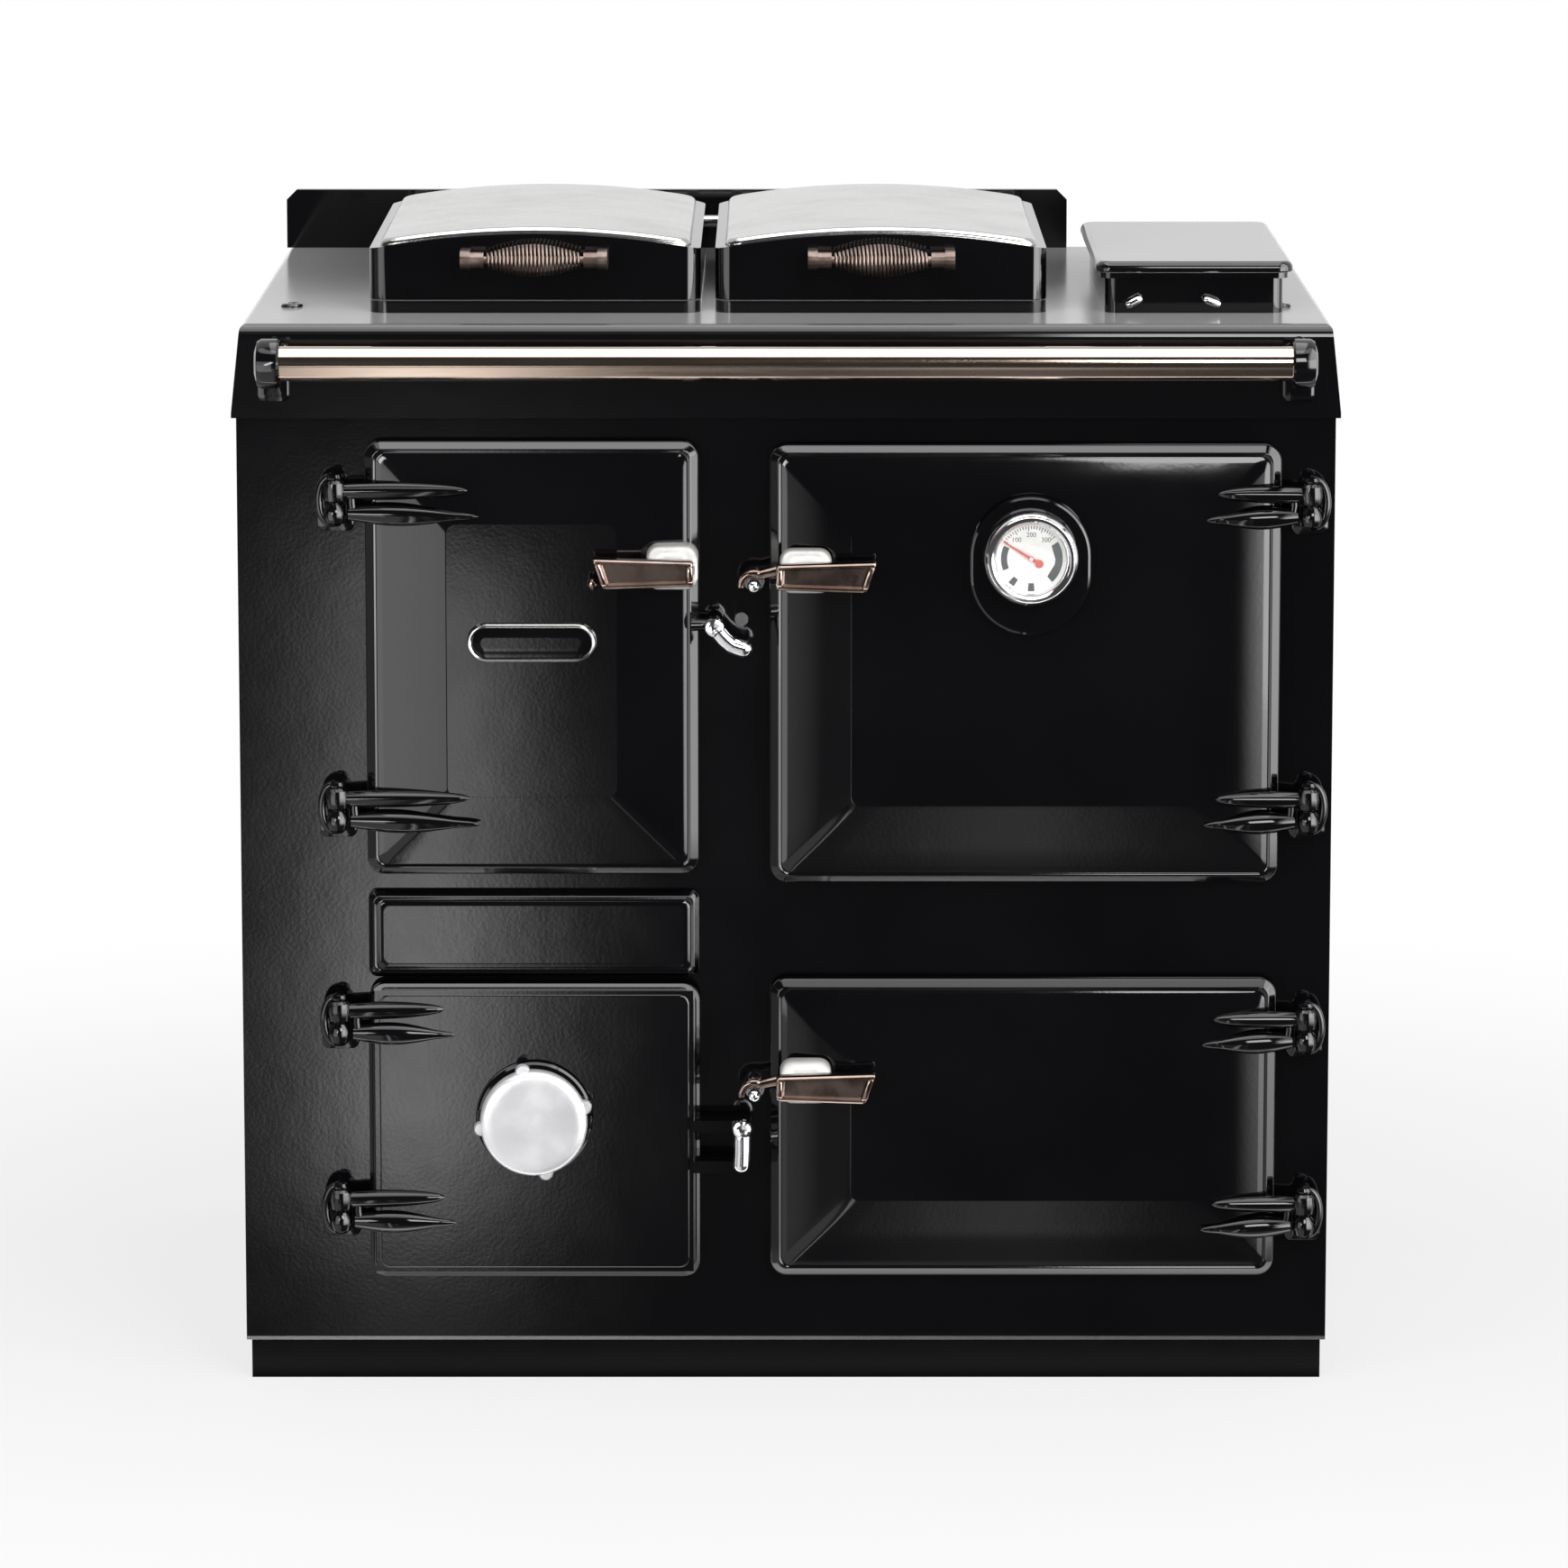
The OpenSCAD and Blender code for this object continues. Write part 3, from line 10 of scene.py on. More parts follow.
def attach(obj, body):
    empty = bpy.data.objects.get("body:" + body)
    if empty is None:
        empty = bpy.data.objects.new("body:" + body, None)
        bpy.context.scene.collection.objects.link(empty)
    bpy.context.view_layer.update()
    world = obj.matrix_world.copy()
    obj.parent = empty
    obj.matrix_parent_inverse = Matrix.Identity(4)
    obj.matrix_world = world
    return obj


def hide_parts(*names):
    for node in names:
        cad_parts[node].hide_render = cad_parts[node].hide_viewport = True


bl_info = {
    "name": "Cast Iron Range Dressing",
    "version": (1, 0, 0),
    "blender": (4, 5, 0),
    "location": "3D View > Sidebar > Range",
    "description": "Dresses the packed model of a cast iron range cooker",
    "category": "Object",
}

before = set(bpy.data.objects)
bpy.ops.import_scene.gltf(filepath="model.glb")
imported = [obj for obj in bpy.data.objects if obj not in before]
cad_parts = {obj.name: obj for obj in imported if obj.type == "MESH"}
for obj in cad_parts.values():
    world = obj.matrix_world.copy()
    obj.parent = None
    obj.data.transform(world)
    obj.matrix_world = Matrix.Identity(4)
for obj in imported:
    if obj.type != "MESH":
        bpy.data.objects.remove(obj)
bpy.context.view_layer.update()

MM = 0.001
SHARP = math.radians(32.0)
WHITE = (1.0, 1.0, 1.0, 1.0)

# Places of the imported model, in millimetres
Y_FRONT, Y_DOOR, Y_EDGE, Y_MID, Y_FLAT = -300.0, -304.0, -316.0, -328.0, -320.0
DOOR_R, BORDER, FIRE_BULGE = 14.0, 66.0, 0.15
INFILL = (-342.0, 341.0, 271.0, 72.0)
DOORS = {"firebox_door": (-342.0, 428.0, 271.0, 357.0),
    "ashpit_door": (-342.0, 91.0, 271.0, 246.0),
    "main_oven_door": (-13.0, 421.0, 415.0, 361.0),
    "lower_oven_door": (-13.0, 91.0, 415.0, 250.0)}
LEFT_AXIS, RIGHT_AXIS, Y_AXIS = -366.0, 426.0, -322.0
LIDS = {"left": -206.0, "right": 78.0}
LID_W, LID_D, LID_FRONT = 272.0, 392.0, -222.0
ARCH_R, DOME_TOP, DOME_IN = 751.1, 949.0, 8.0
GRIP_Y, GRIP_Z = -247.0, 925.0
FLUE = (262.0, -222.0, 146.0, 317.0)
Z_COVER = 908.0
WHEEL = (-206.5, 226.0)
GAUGE, Y_DIAL, Y_INK, NUMBER_R = (198.0, 694.0), -349.4, -349.62, 19.4
OVEN_PIVOT_X, KEEPER_X = 16.0, -26.0
MAIN_HANDLE_Z, LOW_HANDLE_Z, FIRE_HANDLE_Z = 679.0, 257.0, 682.0
Y_BAR, BAR_LEN = -340.0, 82.0
FIRE_LATCH, ASH_LATCH = (-58.0, 636.0), (-36.0, 220.0)
PLAQUE = (-258.5, 606.5, 104.0, 31.0)
RAIL_X, RAIL_Y, RAIL_Z = 415, -370, 855
CLIP_Z = 889

# Camera fitted to the photograph: its focal length and width in pixels, place and tilt
FOCAL, PHOTO, SENSOR = 8051.6, 1740, 36.0
EYE, TILT, SHIFT = (-0.0016, -6.144, 1.553), 0.1566, -0.10


# --- Surfaces ---

def unit(v):
    """Each vector divided by its length."""
    return v / np.linalg.norm(v, axis=-1, keepdims=True)


def outline(w, h, r, corner=8, side=4):
    """Rounded rectangle about the origin, anticlockwise: quarter circles of radius r about the four
    corner centres, and the straight sides between them cut in equal steps."""
    quarter = np.arange(4)[:, None]
    t = np.linspace(0, np.pi / 2, corner + 1)[None] + quarter * np.pi / 2
    sx, sy = np.array([1, -1, -1, 1])[:, None], np.array([1, 1, -1, -1])[:, None]
    arcs = np.stack([sx * (w / 2 - r) + r * np.cos(t), sy * (h / 2 - r) + r * np.sin(t)], -1)
    s = np.arange(1, side)[:, None] / side
    lines = arcs[:, -1:] * (1 - s) + np.roll(arcs, -1, 0)[:, :1] * s
    return np.concatenate([arcs, lines], 1).reshape(-1, 2)


def rings(box, steps, along=1, **cuts):
    """Grid of rings for a shape on the front, or on the hob where along is 2: for each step
    (inset, place along that axis, radius) the rounded outline of the box (lowest corner and two
    sizes) drawn in by the inset."""
    u, v, w, h = box
    return np.stack([np.insert(outline(w - 2 * i, h - 2 * i, r, **cuts)
        + (u + w / 2, v + h / 2), along, k, axis=1) for i, k, r in steps])


def bend(centre, radius, start, end, steps=6):
    """Points of a circular arc about the centre, from the start to the end angle in degrees."""
    a = np.radians(np.linspace(start, end, steps + 1))
    return np.stack([centre[0] + radius * np.cos(a), centre[1] + radius * np.sin(a)], -1)


def polar(centre, radius, degrees):
    """Point at an angle and a distance from a centre."""
    angle = math.radians(degrees)
    return centre[0] + radius * math.cos(angle), centre[1] + radius * math.sin(angle)


def lathe(profile, centre, axis="y", sides=48):
    """Profile of (distance along the axis, radius) points carried round the axis: each ring is
    centre + distance * axis + radius * (cos t * u + sin t * v)."""
    way = {"x": (0, 1, 2), "y": (1, 2, 0), "z": (2, 0, 1)}[axis]
    profile = np.asarray(profile, float)
    t = np.linspace(0, 2 * np.pi, sides, endpoint=False)
    grid = np.zeros((len(profile), sides, 3))
    grid[..., way[0]] = profile[:, :1]
    grid[..., way[1]] = profile[:, 1:] * np.cos(t)
    grid[..., way[2]] = profile[:, 1:] * np.sin(t)
    return grid + np.asarray(centre, float)


def tube(path, radius, ref, sides=12, loop=False, flat=1.0, power=1.0):
    """Circle carried along a path: its first axis is ref made square to the path's direction, its
    second axis is the cross product of the two, scaled by flat. The cosine and sine are raised to
    a power that keeps their sign: 1 gives a circle, 2 a square that stands on its corner."""
    path = np.asarray(path, float)
    ahead = np.roll(path, -1, 0) - np.roll(path, 1, 0) if loop else np.gradient(path, axis=0)
    way = unit(ahead)
    ref = np.broadcast_to(np.asarray(ref, float), path.shape)
    a = unit(ref - (ref * way).sum(-1, keepdims=True) * way)
    b = np.cross(way, a)
    g = np.linspace(0, 2 * np.pi, sides, endpoint=False)[None, :, None]
    r = np.broadcast_to(np.asarray(radius, float), len(path))[:, None, None]
    c, s = (np.sign(k) * np.abs(k) ** power for k in (np.cos(g), np.sin(g)))
    return path[:, None] + r * (c * a[:, None] + flat * s * b[:, None])


def skin(grid, loop=False):
    """Points and faces of a grid whose second parameter runs round. The first and last rows are
    closed with a fan about their middle, or joined to each other. A skin whose signed volume,
    the sum of a . (b x c) / 6, is negative is turned over."""
    rows, cols = grid.shape[:2]
    i = np.arange(rows * cols).reshape(rows, cols)
    j = np.roll(i, -1, 1)
    last = rows if loop else rows - 1
    near, far = np.arange(last), np.arange(1, last + 1) % rows
    quads = np.stack([i[near], j[near], j[far], i[far]], -1).reshape(-1, 4)
    points, fans = grid.reshape(-1, 3), np.zeros((0, 3), int)
    if not loop:
        points = np.concatenate([points, [grid[0].mean(0), grid[-1].mean(0)]])
        fans = np.concatenate([np.stack([j[0], i[0], np.full(cols, rows * cols)], -1),
            np.stack([i[-1], j[-1], np.full(cols, rows * cols + 1)], -1)])
    tri = np.concatenate([quads[:, [0, 1, 2]], quads[:, [0, 2, 3]], fans])
    a, b, c = (points[tri[:, k]] for k in range(3))
    if (a * np.cross(b, c)).sum() < 0:
        quads, fans = quads[:, ::-1], fans[:, ::-1]
    return points, quads, fans


def added(name, data):
    """New object of the data, linked to the scene."""
    made = bpy.data.objects.new(name, data)
    bpy.context.scene.collection.objects.link(made)
    return made


def piece(name, grids, body, slot="black_enamel", finish=None, replaced=()):
    """Object made of one or more skins: the points in metres, smooth except along sharp edges,
    riding on its body. The finish is the slot's own unless one is named."""
    points, faces, start = [], [], 0
    for grid in grids:
        p, quads, fans = grid if isinstance(grid, tuple) else skin(grid)
        points.append(p * MM)
        faces += (quads + start).tolist() + (fans + start).tolist()
        start += len(p)
    mesh = bpy.data.meshes.new(name)
    mesh.from_pydata(np.concatenate(points).tolist(), [], faces)
    mesh.shade_smooth()
    mesh.set_sharp_from_angle(angle=SHARP)
    mesh.materials.append(finishes()[finish or slot])
    made = added(name, mesh)
    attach(made, body)
    if replaced:
        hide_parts(*replaced)


# --- Finishes ---

def math_node(operation, turned=False):
    """Method that adds a Math node of a value and the other terms, turned round if asked."""
    def method(self, *others):
        terms = (*others, self) if turned else (self, *others)
        return self.paint.node("Math", {"operation": operation}, dict(enumerate(terms)))
    return method


class Value:
    """A shader socket that takes part in Python arithmetic: each operation adds its Math node."""

    def __init__(self, paint, socket):
        self.paint, self.socket = paint, socket

    __add__ = __radd__ = math_node("ADD")
    __mul__ = __rmul__ = math_node("MULTIPLY")
    __sub__, __rsub__ = math_node("SUBTRACT"), math_node("SUBTRACT", turned=True)
    __pow__, most = math_node("POWER"), math_node("MAXIMUM")
    size, wave = math_node("ABSOLUTE"), math_node("SINE")


class Paint:
    """The nodes of one material or of the world."""

    def __init__(self, owner):
        owner.use_nodes = True
        self.tree, self.colours = owner.node_tree, bpy.context.scene.range_colours
        self.tree.nodes.clear()

    def node(self, kind, settings=None, sockets=None, out=0):
        """Adds a node of a kind, sets its settings, then the values or links of its sockets."""
        made = self.tree.nodes.new("ShaderNode" + kind)
        for key, value in (settings or {}).items():
            setattr(made, key, value)
        for key, value in (sockets or {}).items():
            if isinstance(value, Value):
                self.tree.links.new(value.socket, made.inputs[key])
            else:
                made.inputs[key].default_value = value
        return Value(self, made.outputs[out]) if made.outputs else None

    def place(self):
        """Object coordinates, in metres from the frame's origin."""
        return self.node("TexCoord", out="Object")

    def stretched(self, scale):
        """Object coordinates scaled along each axis, for a grain that runs one way."""
        return self.node("Mapping", None, {"Vector": self.place(), "Scale": scale})

    def ray(self, kind):
        """1 where the ray is of this kind, otherwise 0."""
        return self.node("LightPath", out=f"Is {kind} Ray")

    def parts(self, vector):
        """X, Y and Z of a vector."""
        return [self.node("SeparateXYZ", None, {0: vector}, out=k) for k in range(3)]

    def noise(self, scale, detail=2.0, rough=0.5, place=None):
        return self.node("TexNoise", None, {"Vector": place or self.place(), "Scale": scale,
            "Detail": detail, "Roughness": rough})

    def spread(self, value, low, high, to_low=0.0, to_high=1.0):
        """Value carried from one range to another, with soft ends."""
        return self.node("MapRange", {"interpolation_type": "SMOOTHSTEP"}, {"Value": value,
            "From Min": low, "From Max": high, "To Min": to_low, "To Max": to_high})

    def mix(self, factor, a, b):
        """Colour a turning to colour b with the factor."""
        return self.node("Mix", {"data_type": "RGBA"}, {0: factor, 6: a, 7: b}, out=2)

    def band(self, value, rise, fall, level=1.0, after=0.0):
        """Value that comes up over the first range, and goes from the level to another over the
        second."""
        return self.spread(value, *rise) * self.spread(value, *fall, level, after)

    def cloud(self, scale, detail, rough, low, high, to_low=0.0, to_high=1.0):
        """Noise whose values from low to high are spread out."""
        return self.spread(self.noise(scale, detail, rough), low, high, to_low, to_high)

    def finish(self, colour, roughness, height, depth, strength, **more):
        """Principled shader with a bump of the given height field, joined to the output."""
        bump = self.node("Bump", None, {"Height": height, "Distance": depth,
            "Strength": strength})
        shader = self.node("BsdfPrincipled", None, {"Base Color": colour,
            "Roughness": roughness, "Normal": bump,
            **{k.replace("_", " "): v for k, v in more.items()}})
        self.node("OutputMaterial", None, {"Surface": shader})


def rgb(r, g, b):
    """Linear colour of an 8-bit screen colour."""
    return tuple((c / 255 / 12.92 if c <= 10 else ((c / 255 + 0.055) / 1.055) ** 2.4)
        for c in (r, g, b)) + (1.0,)


def paint_black_enamel(p):
    """Vitreous enamel: deep black with a soft orange peel and slightly uneven gloss."""
    tone = p.mix(p.cloud(7.0, 3.0, 0.5, 0.35, 0.7), (*p.colours.enamel, 1.0), rgb(9, 9, 11))
    peel = p.noise(38.0, 1.0, 0.4) * 0.45 + p.noise(300.0, 1.0) * 0.2
    p.finish(tone, p.cloud(16.0, 4.0, 0.6, 0.3, 0.75, 0.06, 0.074), peel, 0.0001, 0.4)


def paint_hob_enamel(p):
    """Enamel whose upward faces are rougher from use and carry a lighter grey as a painted sheen,
    and whose other faces are glossy.
    """
    top = p.spread(p.parts(p.node("NewGeometry", out="Normal"))[2], 0.9, 0.99)
    # Painted sheen: the upward faces' lighter grey stands in for the light they reflect at a low
    # angle.
    satin = p.mix(p.noise(7.0, 3.0), rgb(44, 42, 43), rgb(52, 49, 50))
    worn = p.noise(16.0, 4.0, 0.6) * 0.06 + 0.14
    p.finish(p.mix(top, (*p.colours.enamel, 1.0), satin), top * worn + (1.0 - top) * 0.09,
        p.noise(38.0, 1.0, 0.4), 0.0001, 0.4, Sheen_Weight=0.42, Sheen_Roughness=0.35)


def paint_raw_iron(p):
    """Blacked cast iron: sand-cast grain, dark grey with rubbed lighter patches."""
    patch = p.cloud(14.0, 4.0, 0.6, 0.4, 0.72)
    height = p.noise(900.0, 3.0, 0.6) * 0.6 + p.noise(160.0, 3.0) * 0.4
    p.finish(p.mix(patch, (*p.colours.iron, 1.0), rgb(78, 77, 76)),
        p.spread(patch, 0.0, 1.0, 0.62, 0.45), height, 0.0004, 0.6, Metallic=0.35)


def paint_rail(p):
    """Polished nickel tube: warm, mirror-like, with faint marks along it."""
    line = p.noise(1.0, 3.0, 0.6, p.stretched((14.0, 240.0, 240.0)))
    p.finish(p.mix(line, rgb(176, 158, 144), rgb(188, 170, 156)), line * 0.06 + 0.07,
        line, 0.00002, 0.3, Metallic=1.0)


def paint_grey_steel(p):
    """Rolled sheet steel: fine grain along X and faint heat clouds."""
    line = p.noise(1.0, 3.0, 0.6, p.stretched((12.0, 300.0, 300.0)))
    cloud = p.cloud(8.0, 3.0, 0.5, 0.35, 0.7)
    p.finish(p.mix(cloud, rgb(128, 127, 126), rgb(160, 156, 150)), line * 0.2 + 0.28,
        line, 0.00005, 0.5, Metallic=0.85)


def paint_bright_steel(p):
    """Polished stainless steel: mirror-like with very fine polishing lines and finger smears."""
    line = p.noise(1.0, 3.0, 0.6, p.stretched((500.0, 20.0, 20.0)))
    smear = p.cloud(11.0, 4.0, 0.65, 0.35, 0.75)
    p.finish(p.mix(smear, (*p.colours.steel, 1.0), rgb(166, 165, 164)),
        line * 0.06 + smear * 0.05 + 0.13, line, 0.00002, 0.35, Metallic=1.0)


def paint_chrome(p):
    """Plated metal: bright, with a slight haze."""
    haze = p.noise(60.0, 3.0, 0.6)
    p.finish(p.mix(haze, rgb(222, 222, 224), rgb(236, 236, 238)), haze * 0.1 + 0.06,
        p.noise(240.0, 2.0), 0.00004, 0.4, Metallic=1.0)


def paint_wheel(p):
    """Turned and satin-polished wheel: fine rings about its axis."""
    x, _, z = p.parts(p.place())
    away = ((x - WHEEL[0] * MM) ** 2.0 + (z - WHEEL[1] * MM) ** 2.0) ** 0.5
    ring = (away * 5200.0 + p.noise(40.0) * 3.0).wave() * 0.5 + 0.5
    haze = p.cloud(26.0, 4.0, 0.6, 0.35, 0.7)
    p.finish(p.mix(haze, rgb(226, 226, 228), rgb(238, 238, 239)),
        ring * 0.06 + haze * 0.08 + 0.3, ring, 0.00002, 0.3, Metallic=0.6)


def paint_nickel(p):
    """Old nickel plate: warm grey, rubbed and slightly uneven."""
    rub = p.cloud(40.0, 4.0, 0.6, 0.35, 0.7)
    p.finish(p.mix(rub, (*p.colours.nickel, 1.0), rgb(142, 126, 118)),
        p.spread(rub, 0.0, 1.0, 0.12, 0.2), p.noise(300.0, 2.0), 0.00005, 0.4, Metallic=1.0)


def paint_grip(p):
    """Blued spring steel of the lids' grips: dark, warm and dull from hands."""
    rub = p.cloud(60.0, 4.0, 0.6, 0.35, 0.7)
    p.finish(p.mix(rub, rgb(96, 84, 78), rgb(128, 114, 107)), rub * 0.1 + 0.3,
        p.noise(300.0, 2.0), 0.00005, 0.4, Metallic=1.0)


def paint_plinth(p):
    """Matt stove black."""
    dust = p.noise(30.0, 4.0, 0.6)
    p.finish(p.mix(dust, rgb(2, 2, 2), rgb(5, 5, 5)), dust * 0.15 + 0.3,
        p.noise(400.0, 2.0), 0.0001, 0.4, Specular_IOR_Level=0.06)


def paint_cast_alloy(p):
    """Tumbled cast alloy, satin, painted light grey as a painted highlight."""
    cloud = p.cloud(50.0, 3.0, 0.6, 0.3, 0.75)
    # Painted highlight: the light grey, lighter than the nickel handles, stands in for light caught
    # from overhead.
    p.finish(p.mix(cloud, rgb(176, 175, 173), rgb(200, 199, 196)), cloud * 0.1 + 0.3,
        p.noise(500.0, 2.0), 0.00005, 0.4, Metallic=0.5)


def paint_fire_brick(p):
    """Fired clay: sandy, speckled and pitted."""
    speck, cloud = p.noise(260.0, 3.0, 0.7), p.noise(18.0, 4.0, 0.6)
    clay = p.mix(p.spread(cloud, 0.3, 0.7), rgb(190, 154, 112), rgb(214, 184, 142))
    p.finish(p.mix(p.spread(speck, 0.56, 0.66), clay, rgb(120, 88, 62)), speck * 0.2 + 0.78,
        speck * 0.6 + cloud * 0.4, 0.0012, 0.6)


def paint_insulation(p):
    """Mineral wool board: matted yellowish fibres."""
    fibre = p.noise(1.0, 5.0, 0.7, p.stretched((90.0, 90.0, 420.0)))
    p.finish(p.mix(fibre, rgb(128, 122, 98), rgb(196, 188, 158)), fibre * 0.1 + 0.88,
        fibre, 0.002, 0.8)


def paint_rope(p):
    """Graphite-coloured glass fibre rope: fine diagonal strands."""
    x, y, z = p.parts(p.place())
    strand = ((x + z) * 2400.0 + y * 1800.0).wave() * 0.5 + 0.5
    p.finish(p.mix(strand, rgb(30, 30, 31), rgb(84, 82, 80)), strand * 0.1 + 0.8,
        strand, 0.0005, 0.7)


def paint_dial_white(p):
    """Enamelled dial: off-white with faint age."""
    age = p.cloud(70.0, 3.0, 0.5, 0.3, 0.75)
    p.finish(p.mix(age, rgb(240, 240, 238), rgb(222, 220, 214)), age * 0.1 + 0.3,
        p.noise(500.0), 0.00003, 0.3)


def paint_print(p):
    """Printing ink on the dial."""
    ink = p.noise(900.0, 2.0)
    p.finish(p.mix(ink, rgb(12, 12, 14), rgb(30, 30, 33)), ink * 0.2 + 0.4, ink, 0.00002, 0.3)


def paint_pointer_red(p):
    """Lacquered pointer."""
    coat = p.noise(300.0, 2.0)
    p.finish(p.mix(coat, (*p.colours.pointer, 1.0), rgb(214, 86, 52)), coat * 0.15 + 0.3,
        coat, 0.00003, 0.3)


def paint_gauge_glass(p):
    """Thin clear glass, almost unseen except for its gloss."""
    dust = p.cloud(120.0, 4.0, 0.7, 0.5, 0.85, 0.06, 0.12)
    p.finish(p.mix(dust, rgb(240, 246, 248), rgb(225, 230, 230)), dust * 0.3 + 0.02,
        p.noise(30.0), 0.0001, 0.2, Alpha=dust)


def paint_bush_brass(p):
    """Turned brass: fine rings and a warm tone."""
    ring = (p.parts(p.place())[1] * 9000.0).wave() * 0.5 + 0.5
    p.finish(p.mix(p.noise(60.0), rgb(196, 150, 78), rgb(214, 174, 104)), ring * 0.08 + 0.22,
        ring, 0.00002, 0.4, Metallic=1.0)


PAINTS = (paint_black_enamel, paint_hob_enamel, paint_raw_iron, paint_rail, paint_grey_steel,
    paint_bright_steel, paint_chrome, paint_wheel, paint_nickel, paint_grip, paint_plinth,
    paint_cast_alloy, paint_fire_brick, paint_insulation, paint_rope, paint_dial_white,
    paint_print, paint_pointer_red, paint_gauge_glass, paint_bush_brass)
made_finishes = {}


def finishes():
    """All the materials by name, made once. A paint's name gives its finish's name."""
    if not made_finishes:
        for recipe in PAINTS:
            name = recipe.__name__.replace("paint_", "")
            material = bpy.data.materials.new("finish_" + name)
            recipe(Paint(material))
            made_finishes[name] = material
    return made_finishes


# --- Sizes and colours that a user would change ---

def reach(name, words, default, low, high):
    """Property that holds a length in metres."""
    return bpy.props.FloatProperty(name=name, description=words, default=default, min=low,
        max=high, subtype="DISTANCE", unit="LENGTH")


def shade(name, words, r, g, b):
    """Property that holds a colour, given on the 8-bit screen scale."""
    return bpy.props.FloatVectorProperty(name=name, description=words, default=rgb(r, g, b)[:3],
        min=0.0, max=1.0, size=3, subtype="COLOR")


def watts(name, words, default):
    """Property that holds the power of a lamp."""
    return bpy.props.FloatProperty(name=name, description=words, default=default, min=0.0,
        unit="POWER")


class RangeSizes(bpy.types.PropertyGroup):
    """Sizes of the finer shapes."""

    edge: reach("Edge", "Width of the slanted edge of a door", 0.008, 0.005, 0.01)
    crown: reach("Crown", "Rise of a door's middle over its border", 0.0004, 0.0, 0.005)
    bulge: bpy.props.FloatProperty(name="Bulge", description="Roundness of a door's border, from "
        "straight to fully curved", default=0.6, min=0.0, max=1.0, subtype="FACTOR")
    rim: reach("Lid Rim", "Radius of the rolled rim of a lid", 0.005, 0.002, 0.006)
    cover_round: reach("Cover Edge", "Radius of the edge of the flue cover", 0.006, 0.002, 0.007)


class RangeColours(bpy.types.PropertyGroup):
    """Colours of the main finishes."""

    enamel: shade("Enamel", "Colour of the enamel", 5, 5, 7)
    iron: shade("Iron", "Colour of the raw castings", 48, 48, 49)
    steel: shade("Steel", "Colour of the polished steel", 176, 175, 174)
    nickel: shade("Nickel", "Colour of the nickel plate", 120, 104, 96)
    pointer: shade("Pointer", "Colour of the pointer", 190, 52, 26)


class RangeLight(bpy.types.PropertyGroup):
    """Strength of the studio light."""

    top: watts("Overhead", "Power of the panel overhead", 38.0)
    front: watts("Front", "Power of the panel in front", 32.0)
    right: watts("Right", "Power of the panel at the right", 30.0)
    left: watts("Left", "Power of the panel at the left", 12.0)
    spot: watts("Small", "Power of the small left panel", 13.0)
    air: bpy.props.FloatProperty(name="Air", description="Light from all round", default=0.4,
        min=0.0, max=2.0, subtype="FACTOR")


# --- Operators ---

